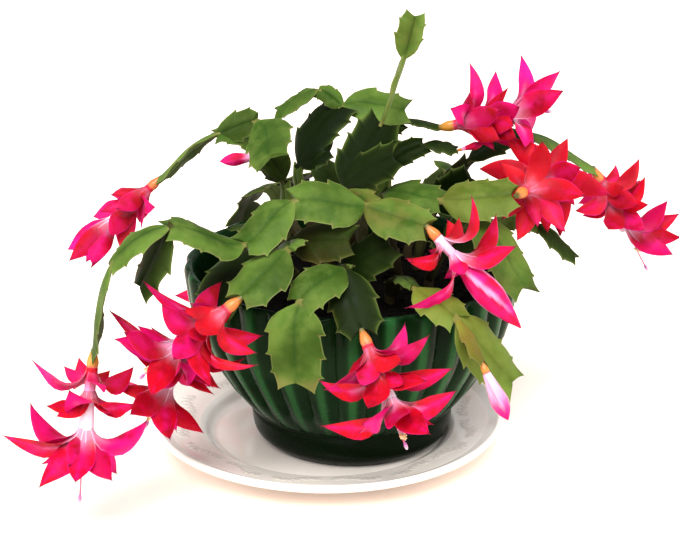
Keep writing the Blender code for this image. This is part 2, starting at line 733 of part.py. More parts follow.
def corolla(name, base, way, size, tiers, collection):
    """The tube of a bloom with its tepals in tiers, and a furled tip while it is half open."""
    low, waist, throat = (radius * size for radius in TUBE_RADII)
    length = TUBE_LENGTH * size
    rings = [(0.0, low), (0.45 * length, waist), (length, throat)]
    if not tiers[2]:
        swell = 1.55 * throat
        rings = [(0.0, low), (0.45 * length, waist), (0.9 * length, swell),
                 (1.25 * length, 1.1 * swell), (1.65 * length, 0.6 * swell),
                 (1.9 * length, 0.1 * swell)]
    tube = spindle(f"corolla_{name}", base, way, rings, TUBE_SIDES, collection)
    front = Vector((0.0, -1.0, 0.0))
    front = (front - front.project(way)).normalized()
    parts = []
    for tier, ((distance, reach, width), tepals) in enumerate(zip(TIERS, tiers)):
        for number, (side, opening, share) in enumerate(tepals):
            outward = Matrix.Rotation(math.radians(side), 3, way) @ front
            start = base + way * distance * size + outward * TEPAL_SEAT * size
            opened = math.radians(opening)
            parts.append(tepal(f"{name}_{tier}_{number}", start, way, outward, reach * size * share,
                               width * size, math.radians(TEPAL_START), opened,
                               TEPAL_BEND * opened, collection))
    obj = boolean(tube, parts, "UNION", collection)
    return finish_node(obj, "petal_red")


def stamens(name, base, way, size, reaching, collection):
    """The bundle of stamens at a bloom's throat, and the longer style through it."""
    low, middle, top = STAMEN_RADII
    droop = (way + Vector((0, 0, -0.12))).normalized()
    reach = STAMEN_LENGTH * size
    bundle = spindle(f"stamens_{name}", base, way,
                     ((0.0, low), (0.6 * reach, middle), (reach, top)), 4, collection)
    tip = STYLE_LENGTH * size * reaching
    rings = ((0.4 * reach, STYLE_RADIUS), (tip - 2.5 * MM, STYLE_RADIUS),
             (tip - 1.6 * MM, 2.0 * STYLE_RADIUS), (tip, 1.2 * STYLE_RADIUS))
    style = spindle("style", base, droop, rings, 4, collection)
    obj = boolean(bundle, [style], "UNION", collection)
    return finish_node(obj, "stamen_cream")


def bloom(name, collection):
    stem_name, branch_number, way, size, reaching, tiers = BLOOMS[name]
    way = Vector(way).normalized()
    base = tip_of(stem_name, branch_number, way)
    ovary(name, base, way, size, collection)
    tube_base = base + way * (OVARY_LENGTH * size + CLEARANCE)
    corolla(name, tube_base, way, size, tiers, collection)
    if reaching:
        throat = tube_base + way * (TUBE_LENGTH * size + CLEARANCE)
        stamens(name, throat, way, size, reaching, collection)


def bud(name, collection):
    stem_name, branch_number, way, size = BUDS[name]
    way = Vector(way).normalized()
    base = tip_of(stem_name, branch_number, way)
    ovary(f"bud_{name}", base, way, 0.7 * size, collection)
    start = base + way * (OVARY_LENGTH * 0.7 * size + CLEARANCE)
    length, wide = BUD_LENGTH * size, BUD_RADIUS * size
    rings = ((0.0, 0.5 * wide), (0.35 * length, 0.78 * wide), (0.62 * length, wide),
             (0.84 * length, 0.66 * wide), (length, 0.10 * wide))
    obj = spindle(f"bud_{name}", start, way, rings, TUBE_SIDES, collection)
    return finish_node(obj, "petal_red")


def main():
    clear_scene()
    collection = bpy.data.collections.new("potted_christmas_cactus")
    bpy.context.scene.collection.children.link(collection)
    saucer(collection)
    bowl(collection)
    soil(collection)
    for name in STEMS:
        stem(name, collection)
    for name in BLOOMS:
        bloom(name, collection)
    for name in BUDS:
        bud(name, collection)


main()
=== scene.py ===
"""The looks of a Christmas cactus in bloom, in its fluted green bowl on a china saucer.

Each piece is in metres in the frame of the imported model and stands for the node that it
replaces, with the same joints, ways and sizes and a finer surface.
"""

import math
import random

import bmesh
import bpy
from mathutils import Matrix, Vector, noise


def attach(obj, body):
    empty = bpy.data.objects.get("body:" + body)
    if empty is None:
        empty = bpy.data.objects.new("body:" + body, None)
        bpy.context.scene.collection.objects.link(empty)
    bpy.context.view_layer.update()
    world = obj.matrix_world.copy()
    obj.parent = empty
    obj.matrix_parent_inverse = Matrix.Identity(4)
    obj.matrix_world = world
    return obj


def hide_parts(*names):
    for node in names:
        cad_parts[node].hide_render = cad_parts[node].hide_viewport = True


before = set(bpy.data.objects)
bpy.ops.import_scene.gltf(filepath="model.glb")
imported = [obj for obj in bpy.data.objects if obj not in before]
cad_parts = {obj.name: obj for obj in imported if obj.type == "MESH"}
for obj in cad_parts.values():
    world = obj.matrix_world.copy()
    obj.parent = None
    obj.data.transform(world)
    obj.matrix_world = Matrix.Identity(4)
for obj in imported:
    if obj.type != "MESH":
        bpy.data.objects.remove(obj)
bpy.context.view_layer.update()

MM = 0.001
CLEARANCE = 0.3 * MM

# Saucer
SAUCER_RADIUS = 99.5 * MM
SAUCER_OFFSET = -14.0 * MM
SAUCER_FLOOR = 5.0 * MM
SAUCER_WELL_RADIUS = 65.5 * MM
SAUCER_FOOT_RADIUS = 60.0 * MM
SAUCER_STEPS = 540
SPRIGS = 16
SPRIG_HEIGHT = 0.35 * MM
# A sprig's line on the rim, its wave and its leaves, in millimetres and degrees
SPRIG_LINE, SPRIG_WAVE, SPRIG_HALF = 81.5, 3.2, 11.0
LEAVES, LEAF_PITCH, LEAF_LEAN, LEAF_LENGTH, LEAF_HALF = 7, 3.6, 52.0, 4.6, 1.15

# Bowl
BOWL_BASE = SAUCER_FLOOR + CLEARANCE
BOWL_HEIGHT = 103.0 * MM
BOWL_RADIUS = 93.0 * MM
FOOT_RADIUS = 57.0 * MM
FOOT_HEIGHT = 21.0 * MM
LOBES = 30
POINTS_PER_LOBE = 12
LOBE_DEPTH = 3.2 * MM
WALL = 5.0 * MM
BOWL_FLOOR = 9.0 * MM

# Soil
SOIL_TOP = BOWL_BASE + BOWL_HEIGHT - 16.0 * MM
SOIL_RADIUS = 84.0 * MM
SOIL_MOUND = 5.0 * MM
SOIL_SIDES, SOIL_CIRCLES = 96, 30
CRUMBS = 420

# Stems
ROOT_RADIUS = 3.0 * MM
ROOT_DEPTH = 12.0 * MM
STUMP = 3.0 * MM  # how far a stem's plain root stands out of the soil
WIDEST_SEGMENT = 32.0 * MM
WIDTH_TO_LENGTH = 0.76
WOODY_WIDTH = 11.0 * MM
SEGMENT_ARCH = 0.14
NECK_SHARE = 0.16
NECK_SUNK = 2.6 * MM
RIB_HALF = 1.15 * MM  # half a segment's thickness at its midrib
EDGE_HALF = 0.22 * MM  # and at its edge
LIGHT_LEAN = 30.0 * MM
LONG_SEGMENT = 39 * MM  # longer ones have a tooth more
INNER_RADIUS, INNER_HEIGHT = 30 * MM, 150 * MM  # within these, segments are painted dark as shade
# How dark the segments within them are painted, as shade
INNER_PAINTED_SHADE = 0.75

# Blooms
APEX_DIP = 0.05
OVARY_LENGTH = 6.5 * MM
OVARY_RADII = (1.8 * MM, 2.9 * MM)
OVARY_SEAT = 0.95 * MM
OVARY_ASIDE = 2.2 * MM
OVARY_ROOT = 2.4 * MM  # how far its neck is sunk into the segment
OVARY_SIDES, OVARY_STEPS = 20, 10
TUBE_LENGTH = 33.0 * MM
TUBE_RADII = (2.8 * MM, 2.7 * MM, 4.0 * MM)
TUBE_SIDES, TUBE_RIBS = 32, 8
TEPAL_CUP = 0.16
BUD_LENGTH = 27.0 * MM
BUD_RADIUS = 4.7 * MM
BUD_OVARY = 0.7  # the size of its ovary beside a bloom's
FURLED_SIDES, FOLDS = 40, 4
STYLE_LENGTH = 26.0 * MM
STAMEN_LENGTH = 15.0 * MM
FILAMENTS = 22
GOLDEN_ANGLE = math.radians(137.5)
REDDENED = {"lower_left": 0.15, "top_right": 0.15, "left_back": 1.0}  # ovaries
USUAL_REDDENED = 0.75

# The tepals of a bloom, in tiers: how far along the tube they grow, their length and width
TIERS = (
    (1.5 * MM, 28.0 * MM, 12.0 * MM),
    (11.0 * MM, 31.0 * MM, 13.0 * MM),
    (27.0 * MM, 35.0 * MM, 14.0 * MM),
)
SMALL_TEPALS = 3  # in each tier, between the others
SMALL_LOWER = 1.5 * MM  # how much nearer to the ovary they grow
TEPAL_SEAT, SMALL_SEAT = 2.4, 1.4  # from the tube's middle, in millimetres
SMALL_WIDTH = 0.75
TEPAL_START = 14.0
TEPAL_BEND = 0.13
TEPAL_TURN = 36.0  # the most that a tepal's blade turns about its length
TURNED_BY = 0.6  # how far along it that turn is complete
LIGHT_WAY = (0.0, -0.94, 0.34)

# The teeth on each edge of a segment, and last its horn: place along it and half width
TOOTHED = ((0.38, 1.00), (0.64, 1.00), (0.88, 0.90), (1.09, 0.62))
YOUNG = ((0.52, 1.00), (0.84, 0.92), (1.08, 0.64))
PLAIN = ((0.52, 1.00), (1.04, 0.60))
BEARING_HORN = (1.04, 0.50)  # in place of the last, where a bloom or bud grows

# Where each stem stands in the soil, and its branches, in millimetres: the joints that a branch
# passes, and the turn in degrees of the segment that ends there.
STEMS = {
    "left_low": ((-14, -16), [
        [(-14, -20, 128), (-5, -36, 158), (6, -58, 158), (-31, -66, 163), (-56, -84, 146),
         (-92, -98, 160, 30), (-120, -106, 143, 20), (-131, -110, 96, 40)],
        [(6, -58, 158), (39, -73, 151)],
        [(-92, -98, 160), (-108, -94, 126)],
    ]),
    "front_left": ((-30, -24), [
        [(-36, -36, 122), (-33, -58, 138), (-34, -82, 142), (-58, -106, 124)],
        [(-36, -36, 122), (-56, -58, 132), (-78, -88, 103)],
        [(-33, -58, 138), (-1, -72, 145)],
    ]),
    "front_centre": ((-6, -40), [
        [(-8, -54, 118), (-5, -79, 131), (-27, -102, 121), (-29, -108, 79)],
        [(-5, -79, 131), (5, -104, 105)],
        [(-8, -54, 118), (20, -58, 138)],
    ]),
    "front_right": ((20, -34), [
        [(24, -52, 116), (32, -76, 119), (53, -97, 110), (65, -113, 92, -40)],
        [(53, -97, 110), (83, -88, 71)],
    ]),
    "right_low": ((42, -14), [
        [(50, -26, 124), (64, -40, 146), (90, -64, 114)],
        [(50, -26, 124), (76, -12, 134), (100, -14, 133), (121, -20, 116)],
        [(50, -26, 124), (50, -58, 130)],
    ]),
    "right_mid": ((26, -6), [
        [(20, -10, 128), (17, -22, 153), (47, -42, 156), (86, -45, 160)],
        [(20, -10, 128), (36, -28, 146)],
    ]),
    "right_back": ((36, 18), [
        [(46, 22, 130), (66, 30, 157), (97, 36, 170), (137, 30, 150)],
        [(46, 22, 130), (78, 28, 140), (118, 22, 137)],
        [(46, 22, 130), (66, 6, 154)],
    ]),
    "right_high": ((14, 12), [
        [(16, 10, 130), (22, 10, 160), (40, 14, 170), (58, 14, 167)],
    ]),
    "top_right": ((6, 30), [
        [(8, 34, 132), (10, 34, 164), (26, 26, 180), (49, 14, 180)],
    ]),
    "top": ((-2, 0), [
        [(-2, -8, 128), (-4, -18, 156), (22, -26, 176)],
        [(-4, -18, 156), (16, -10, 190), (27, -8, 224, 75), (33, -4, 247)],
    ]),
    "top_left": ((-20, 10), [
        [(-24, 10, 130), (-29, 6, 161), (-5, 14, 192), (30, 12, 190)],
        [(-5, 14, 192), (-19, 20, 199), (-42, 24, 186)],
        [(-29, 6, 161), (-12, -2, 172)],
    ]),
    "left_high": ((-38, -4), [
        [(-36, -8, 128), (-37, -12, 158), (-50, -18, 178), (-72, -28, 188), (-103, -36, 165, 40)],
        [(-72, -28, 188), (-50, -32, 196, 30), (-42, -69, 187)],
        [(-37, -12, 158), (-48, 4, 166)],
    ]),
    "back_left": ((-26, 32), [
        [(-36, 44, 118), (-48, 68, 128), (-62, 92, 112), (-70, 106, 76)],
        [(-48, 68, 128), (-24, 84, 130)],
        [(-36, 44, 118), (-68, 38, 114)],
    ]),
    "back": ((4, 42), [
        [(4, 52, 122), (2, 72, 142), (6, 98, 136), (8, 116, 98)],
        [(2, 72, 142), (28, 84, 148)],
        [(4, 52, 122), (-18, 56, 146)],
    ]),
    "back_right": ((32, 36), [
        [(40, 50, 124), (54, 68, 138), (62, 96, 128), (62, 108, 92)],
        [(54, 68, 138), (80, 78, 122)],
    ]),
}
# Segments with a reddish blush, with yellow-olive flesh, and ones painted dark as shade: (stem, branch,
# segment)
BLUSH = {
    ("left_low", 1, 0): 0.35, ("left_low", 0, 2): 0.5, ("front_left", 2, 0): 0.5,
    ("front_right", 0, 3): 0.5,
}
YELLOWED = {
    ("front_right", 0, 2): 0.7, ("front_right", 0, 3): 1.0, ("front_right", 1, 0): 0.45,
    ("right_mid", 0, 3): 0.25,
}
PAINTED_SHADE = {
    ("top", 0, 2): 0.87, ("top", 1, 0): 0.92, ("top_left", 0, 2): 1.00, ("top_left", 2, 0): 1.00,
    ("right_high", 0, 2): 0.82, ("right_high", 0, 3): 0.72, ("right_back", 0, 1): 0.92,
    ("right_back", 0, 2): 0.72, ("right_back", 1, 0): 0.92, ("right_back", 2, 0): 1.00,
    ("right_mid", 1, 0): 0.87, ("front_centre", 1, 0): 0.84, ("front_left", 1, 1): 0.80,
    ("front_left", 1, 0): 0.72, ("front_left", 2, 0): 0.62, ("left_high", 0, 2): 0.62,
    ("left_high", 1, 0): 0.42, ("left_high", 2, 0): 0.87, ("right_low", 2, 0): 0.90,
    ("right_low", 1, 2): 0.67, ("left_low", 2, 0): 0.62, ("front_centre", 2, 0): 0.72,
    ("right_low", 1, 0): 0.67, ("top_right", 0, 3): 0.67,
}
# Stems at the back, painted darker all over as shade
BACK_STEM_SHADE = {"back_left": 0.5, "back": 0.4, "back_right": 0.3}
# Segments with a corky scar at their end
SCARRED = {("front_centre", 0, 3): 1.0, ("front_left", 0, 3): 0.4}

# Each open bloom: its stem and branch, the way it points, its size, how far its style stands
# out, how much magenta there is in its red, and its tepals in three tiers: the side that each
# grows on and how far it opens, in degrees, and its share of the tier's length. Side 0 is the one
# that faces -Y, and the sides turn about the bloom's way.
BLOOMS = {
    "lower_left": ("left_low", 0, (-0.10, -0.34, -0.94), 1.06, 1.2, 0.65, (
        ((160, 125, 1.1), (90, 120, 1.15), (230, 120, 1.0)),
        ((65, 80, 0.7), (300, 105, 0.85), (20, 115, 0.8), (260, 95, 0.8)),
        ((85, 95, 1.2), (110, 125, 1.1), (40, 50, 1.1), (0, 50, 1.0), (215, 55, 1.0),
         (270, 120, 1.0), (320, 50, 0.95)),
    )),
    "left_front": ("front_left", 0, (-0.80, -0.22, -0.56), 1.05, 0.8, 0.40, (
        ((165, 130, 1.1), (245, 130, 1.2), (10, 70, 1.0), (105, 65, 1.45)),
        ((60, 80, 1.0), (325, 75, 1.2), (285, 125, 1.2)),
        ((115, 75, 1.1), (55, 75, 1.0), (150, 45, 0.95), (350, 55, 1.0)),
    )),
    "left_under": ("front_left", 1, (-0.50, -0.30, -0.81), 1.0, 0.8, 0.35, (
        ((275, 120, 1.15), (315, 75, 1.2), (130, 95, 1.0)),
        ((80, 85, 0.95), (230, 90, 1.0), (345, 110, 0.85)),
        ((335, 55, 1.0), (140, 80, 1.0), (285, 80, 0.9), (25, 65, 1.0), (215, 50, 1.0)),
    )),
    "front": ("front_centre", 1, (0.35, -0.60, -0.72), 1.05, 0.8, 0.55, (
        ((260, 130, 0.9), (285, 90, 1.2), (320, 60, 1.0), (145, 120, 0.9), (65, 75, 1.1)),
        ((70, 115, 1.05), (15, 50, 1.1), (260, 80, 1.2)),
        ((25, 75, 0.9), (350, 65, 1.0), (320, 40, 1.0), (245, 95, 1.0), (65, 105, 1.1)),
    )),
    "left_back": ("left_high", 0, (-0.74, -0.20, -0.64), 0.90, 0.7, 0.80, (
        ((145, 45, 0.9), (340, 100, 0.8), (235, 40, 0.8)),
        ((355, 45, 1.0), (320, 40, 1.0), (155, 30, 1.0)),
        ((10, 30, 1.1), (345, 45, 1.0), (170, 20, 1.1), (215, 25, 1.0), (285, 20, 0.9)),
    )),
    "top_right": ("top_right", 0, (0.98, -0.05, 0.20), 1.05, 0.7, 0.70, (
        ((315, 120, 0.7), (250, 80, 1.2), (335, 45, 1.1), (20, 50, 1.0), (65, 45, 0.8)),
        ((225, 75, 1.0), (335, 40, 1.0), (20, 55, 0.9), (75, 50, 0.7)),
        ((235, 80, 1.0), (260, 30, 1.0), (320, 30, 1.0), (50, 80, 0.6), (140, 80, 0.9)),
    )),
    "right": ("right_mid", 0, (0.50, 0.86, -0.02), 1.05, 0.8, 0.25, (
        ((145, 130, 0.95), (90, 125, 1.1), (40, 105, 1.1), (285, 110, 1.1), (355, 105, 1.2)),
        ((190, 120, 1.15), (330, 110, 1.0), (80, 75, 1.0)),
        ((15, 70, 1.0), (210, 100, 1.0), (75, 100, 1.0)),
    )),
    "right_back": ("right_back", 0, (0.50, 0.00, -0.86), 1.0, 1.1, 0.45, (
        ((175, 130, 1.1), (50, 105, 1.0), (255, 110, 1.0)),
        ((215, 110, 1.0), (265, 110, 0.8), (15, 100, 1.1)),
        ((270, 105, 0.85), (255, 75, 1.0), (300, 60, 1.0), (320, 45, 1.0)),
    )),
    "half_open": ("left_low", 1, (0.68, -0.25, -0.69), 1.0, 0.0, 0.35, (
        ((255, 125, 1.2), (195, 125, 1.0), (45, 125, 0.85), (95, 130, 0.85)),
        ((250, 110, 1.1), (285, 70, 1.1), (58, 103, 1.35)),
        (),
    )),
    "back_left": ("back_left", 0, (-0.20, 0.45, -0.87), 1.0, 1.0, 0.50, (
        ((0, 95, 1.0), (120, 100, 1.0), (240, 90, 1.05)),
        ((60, 75, 1.0), (300, 75, 1.0)),
        ((20, 65, 1.0), (90, 70, 1.05), (160, 60, 1.0), (235, 75, 1.0), (305, 65, 0.95)),
    )),
    "back_right": ("back_right", 0, (0.10, 0.30, -0.95), 1.0, 1.0, 0.40, (
        ((30, 95, 1.0), (150, 90, 1.0), (270, 100, 1.05)),
        ((210, 75, 1.0), (330, 85, 1.0)),
        ((0, 60, 1.0), (75, 70, 1.0), (145, 65, 1.05), (220, 60, 1.0), (290, 75, 0.95)),
    )),
}
# Tepals that lie over a bloom's tube, besides those above: the tier, side, opening and share
COVERING = {
    "left_front": ((0, 280, 110, 1.0), (1, 5, 50, 1.0), (2, 85, 50, 0.9)),
    "left_under": ((0, 60, 85, 0.9), (1, 20, 60, 1.0)),
    "front": ((0, 20, 45, 1.0), (1, 300, 60, 1.0)),
    "left_back": ((0, 20, 50, 1.0),),
    "top_right": ((1, 0, 55, 0.9),),
    "right_back": ((0, 330, 70, 1.0), (1, 340, 60, 1.0)),
}

# Each bud: its stem and branch, the way it points, its size and how pale its base is
BUDS = {
    "front_right": ("front_right", 0, (0.42, -0.35, -0.84), 0.95, 0.6),
    "right_high": ("right_high", 0, (0.85, -0.20, 0.30), 0.45, 0.0),
    "left_high": ("left_high", 2, (-0.97, -0.10, -0.10), 0.75, 0.2),
}

# Soft boxes: width, height, power, place and what they are aimed at
SOFT_BOXES = {
    "side": (0.25, 1.1, 7.0, (0.85, -0.35, 0.55), (0.0, 0.0, 0.06)),
    "left": (0.3, 0.6, 5.0, (-0.75, -0.45, 0.25), (-0.06, 0.0, 0.03)),
}
SUN_POWER, SUN_ANGLE, SUN_TILT = 5.6, 40.0, (33.0, -7.0)
SKY_POWER = 0.7
CAMERA_PLACE = (-0.007, -1.002, 0.468)
CAMERA_ELEVATION = 20.0
CAMERA_LENS, CAMERA_SENSOR = 101.8, 36.0
FLOOR_REACH = 12.0


# ---- Meshes


def smooth(low, high, value):
    """0 below low, 1 above high, and a soft rise between them."""
    share = min(1.0, max(0.0, (value - low) / (high - low)))
    return share * share * (3.0 - 2.0 * share)


def placed(name, data, location=(0.0, 0.0, 0.0), rotation=(0.0, 0.0, 0.0)):
    """Puts an object into the scene."""
    obj = bpy.data.objects.new(name, data)
    obj.location, obj.rotation_euler = location, rotation
    bpy.context.scene.collection.objects.link(obj)
    return obj


class Shell:
    """The points and faces of one piece, with marks at each point for its material."""

    def __init__(self, *marks):
        self.points = []
        self.faces = []
        self.marks = {mark: [] for mark in marks}

    def ring(self, points, **values):
        """Adds points. A mark's value is one number, or a list with one for each point."""
        first = len(self.points)
        self.points.extend(points)
        for mark, kept in self.marks.items():
            value = values.get(mark, 0.0)
            kept.extend(value if isinstance(value, list) else [value] * len(points))
        return list(range(first, len(self.points)))

    def skin(self, rings):
        """Joins rings that have as many points each."""
        for low, high in zip(rings, rings[1:]):
            for k in range(len(low)):
                after = (k + 1) % len(low)
                self.faces.append((low[k], low[after], high[after], high[k]))

    def cap(self, ring):
        """Closes a ring with a strip across it."""
        count = len(ring)
        for k in range(count // 2):
            corners = (ring[k], ring[k + 1], ring[count - k - 1], ring[(count - k) % count])
            self.faces.append(tuple(dict.fromkeys(corners)))

    def closed(self, rings):
        """Joins rings and closes both ends."""
        self.skin(rings)
        self.cap(rings[0])
        self.cap(rings[-1])

    def point(self, ring, place, **values):
        """Closes a ring at a point."""
        tip = self.ring([place], **values)[0]
        for k in range(len(ring)):
            self.faces.append((ring[k], ring[(k + 1) % len(ring)], tip))

    def piece(self, name, material, nodes, crease=55.0):
        """Makes the object, which stands for those nodes."""
        mesh = bpy.data.meshes.new(name)
        mesh.from_pydata(self.points, [], self.faces)
        for mark, values in self.marks.items():
            mesh.attributes.new(mark, "FLOAT", "POINT").data.foreach_set("value", values)
        work = bmesh.new()
        work.from_mesh(mesh)
        bmesh.ops.recalc_face_normals(work, faces=work.faces)
        work.to_mesh(mesh)
        work.free()
        mesh.materials.append(material)
        mesh.shade_smooth()
        mesh.set_sharp_from_angle(angle=math.radians(crease))
        obj = placed(name, mesh)
        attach(obj, "root")
        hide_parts(*nodes)


def circle(radius, count):
    """The x and y of points round the bowl's axis."""
    angles = [math.tau * k / count for k in range(count)]
    return [(radius * math.cos(angle), radius * math.sin(angle)) for angle in angles]


def round_ring(centre, across, other, radii):
    """Points around a centre, one for each radius."""
    count = len(radii)
    points = []
    for k, radius in enumerate(radii):
        angle = math.tau * k / count
        points.append(centre + (across * math.cos(angle) + other * math.sin(angle)) * radius)
    return points


def axes_of(way):
    """Two ways square to a way and to each other."""
    across = way.orthogonal().normalized()
    return across, way.cross(across)


def tube(shell, places, radii, sides, **values):
    """A round solid through places, each with its radius. It ends in flat caps."""
    rings = []
    across = None
    for i, (place, radius) in enumerate(zip(places, radii)):
        way = (places[min(i + 1, len(places) - 1)] - places[max(i - 1, 0)]).normalized()
        across = axes_of(way)[0] if across is None else (across - across.project(way)).normalized()
        marks = {mark: value[i] if isinstance(value, list) else value for mark, value in values.items()}
        points = round_ring(place, across, way.cross(across), [radius] * sides)
        rings.append(shell.ring(points, **marks))
    shell.closed(rings)


def smooth_profile(points, steps):
    """Points on a smooth curve through a profile's own points, a few for each stretch."""
    found = []
    for i in range(len(points) - 1):
        a, b = Vector(points[i]), Vector(points[i + 1])
        before = Vector(points[max(i - 1, 0)])
        after = Vector(points[min(i + 2, len(points) - 1)])
        da, db = (b - before) / 2, (after - a) / 2
        limit = (b - a).length
        da, db = (d * min(1.0, limit / max(d.length, 1e-9)) for d in (da, db))
        for k in range(steps):
            t = k / steps
            found.append((2 * t**3 - 3 * t**2 + 1) * a + (t**3 - 2 * t**2 + t) * da
                         + (3 * t**2 - 2 * t**3) * b + (t**3 - t**2) * db)
    found.append(Vector(points[-1]))
    return found


# ---- Materials


class Finish:
    """A material's nodes, made one by one."""

    def __init__(self, name, **constants):
        self.material = bpy.data.materials.new(name)
        self.material.use_nodes = True
        self.tree = self.material.node_tree
        self.shader = self.tree.nodes["Principled BSDF"]
        for socket, value in constants.items():
            self.shader.inputs[socket.replace("_", " ")].default_value = value

    def node(self, kind, settings=None, **links):
        made = self.tree.nodes.new(kind)
        for name, value in (settings or {}).items():
            setattr(made, name, value)
        for name, value in links.items():
            self.put(made.inputs[name.replace("_", " ")], value)
        return made

    def put(self, socket, value):
        if isinstance(value, bpy.types.NodeSocket):
            self.tree.links.new(value, socket)
        elif socket.type == "RGBA" and len(value) == 3:
            socket.default_value = (*value, 1.0)
        else:
            socket.default_value = value

    def mark(self, name):
        return self.node("ShaderNodeAttribute", {"attribute_name": name}).outputs["Fac"]

    def noise(self, scale, detail=3.0):
        where = self.node("ShaderNodeTexCoord").outputs["Object"]
        return self.node("ShaderNodeTexNoise", Vector=where, Scale=scale, Detail=detail).outputs["Fac"]

    def math(self, operation, a, b):
        made = self.node("ShaderNodeMath", {"operation": operation})
        for socket, value in zip(made.inputs, (a, b)):
            self.put(socket, value)
        return made.outputs[0]

    def part(self, name, share):
        """A share of a mark."""
        return self.math("MULTIPLY", self.mark(name), share)

    def span(self, value, low, high, to_low=0.0, to_high=1.0):
        """A value's soft rise from one range to another."""
        made = self.node("ShaderNodeMapRange", {"interpolation_type": "SMOOTHSTEP"}, Value=value)
        for name, number in (("From Min", low), ("From Max", high), ("To Min", to_low), ("To Max", to_high)):
            made.inputs[name].default_value = number
        return made.outputs[0]

    def mix(self, share, a, b):
        made = self.node("ShaderNodeMix", {"data_type": "RGBA"})
        for socket, value in zip((made.inputs[0], made.inputs[6], made.inputs[7]), (share, a, b)):
            self.put(socket, value)
        return made.outputs[2]

    def bump(self, height, distance):
        made = self.node("ShaderNodeBump", Height=height, Distance=distance, Strength=1.0)
        self.put(self.shader.inputs["Normal"], made.outputs["Normal"])

    def colour(self, value, *over):
        """Sets the colour, with others laid over it, each by its share."""
        for share, other in over:
            value = self.mix(share, value, other)
        self.put(self.shader.inputs["Base Color"], value)

    def roughness(self, grain, low, high):
        self.put(self.shader.inputs["Roughness"], self.span(grain, 0.3, 0.7, low, high))


def china_finish():
    finish = Finish("china", Coat_Weight=0.5, Coat_Roughness=0.06, IOR=1.5)
    cream = finish.mix(finish.span(finish.noise(22.0), 0.35, 0.7), (0.83, 0.76, 0.68), (0.88, 0.82, 0.75))
    finish.colour(
        cream,
        (finish.part("hollow", 0.85), (0.15, 0.125, 0.080)),
        (finish.part("relief", 0.35), (0.36, 0.32, 0.25)),
    )
    finish.roughness(finish.noise(90.0), 0.12, 0.22)
    finish.bump(finish.noise(320.0, 2.0), 0.00004)
    return finish.material


def glaze_finish():
    finish = Finish("green_glaze", Specular_IOR_Level=0.10, IOR=1.30)
    pooled = finish.span(finish.noise(45.0, 4.0), 0.3, 0.7)
    finish.colour(
        finish.mix(pooled, (0.0012, 0.0085, 0.0014), (0.0026, 0.0150, 0.0032)),
        # Lighter green on the lobe crests: glaze that thins on the ridges, and painted highlight lines along
        # them
        (finish.part("crest", finish.span(finish.noise(30.0), 0.2, 0.6, 0.5, 1.0)), (0.014, 0.070, 0.018)),
        (finish.mark("foot"), (0.0020, 0.0055, 0.0016)),
    )
    finish.roughness(finish.noise(120.0), 0.16, 0.30)
    finish.bump(finish.noise(260.0, 2.0), 0.00006)
    return finish.material


def soil_finish():
    finish = Finish("soil", Specular_IOR_Level=0.05)
    grain = finish.noise(900.0, 6.0)
    # Near black: the soil's own dark brown, darkened further as painted shade under the leaves
    dark = finish.mix(finish.span(grain, 0.35, 0.65), (0.0008, 0.0006, 0.0004), (0.0034, 0.0024, 0.0016))
    finish.colour(dark, (finish.mark("pale"), (0.030, 0.026, 0.020)))
    finish.roughness(grain, 0.8, 0.98)
    finish.bump(grain, 0.0006)
    return finish.material


def cactus_finish():
    finish = Finish("cactus_green", Subsurface_Weight=0.05, Subsurface_Scale=0.0012, IOR=1.38,
                    Specular_IOR_Level=0.07, Subsurface_Radius=(0.6, 1.0, 0.3))
    edge, mottle = finish.mark("edge"), finish.noise(140.0, 5.0)
    finish.colour(
        finish.mix(finish.mark("tone"), (0.022, 0.050, 0.005), (0.090, 0.155, 0.024)),
        # Darker towards the midrib: a painted shade band across the segment
        (finish.span(edge, 0.0, 0.85, 0.75, 0.0), (0.020, 0.052, 0.004)),
        (finish.span(mottle, 0.35, 0.7, 0.0, 0.4), (0.118, 0.165, 0.034)),
        (finish.span(finish.noise(36.0), 0.40, 0.70, 0.0, 0.75), (0.016, 0.036, 0.003)),
        (finish.part("rib", 0.55), (0.014, 0.040, 0.006)),
        (finish.part("under", 0.4), (0.050, 0.080, 0.026)),
        (finish.mark("yellow"), (0.17, 0.155, 0.018)),
        (finish.math("MULTIPLY", finish.span(edge, 0.93, 1.0), 0.55), (0.150, 0.170, 0.055)),
        (finish.part("blush", finish.span(finish.noise(70.0), 0.3, 0.65)), (0.115, 0.045, 0.012)),
        (finish.part("areole", 0.55), (0.16, 0.120, 0.042)),
        # Painted shade on segments deep in the plant, at the back and listed
        (finish.mark("dark"), (0.0030, 0.0070, 0.0007)),
        (finish.mark("wood"), (0.030, 0.022, 0.010)),
    )
    finish.roughness(mottle, 0.42, 0.58)
    finish.bump(finish.noise(700.0), 0.00012)
    return finish.material


def ovary_finish():
    finish = Finish("ovary_orange", Subsurface_Weight=0.15, Subsurface_Scale=0.002, IOR=1.4)
    along = finish.mark("along")
    finish.colour(
        finish.mix(finish.mark("tone"), (0.42, 0.20, 0.018), (0.46, 0.105, 0.028)),
        (finish.span(finish.noise(300.0), 0.4, 0.7, 0.0, 0.4), (0.48, 0.20, 0.050)),
        (finish.span(along, 0.45, 0.0), (0.060, 0.065, 0.010)),
        (finish.span(along, 0.82, 1.0, 0.0, 0.8), (0.56, 0.070, 0.060)),
    )
    finish.roughness(finish.noise(500.0), 0.30, 0.45)
    return finish.material


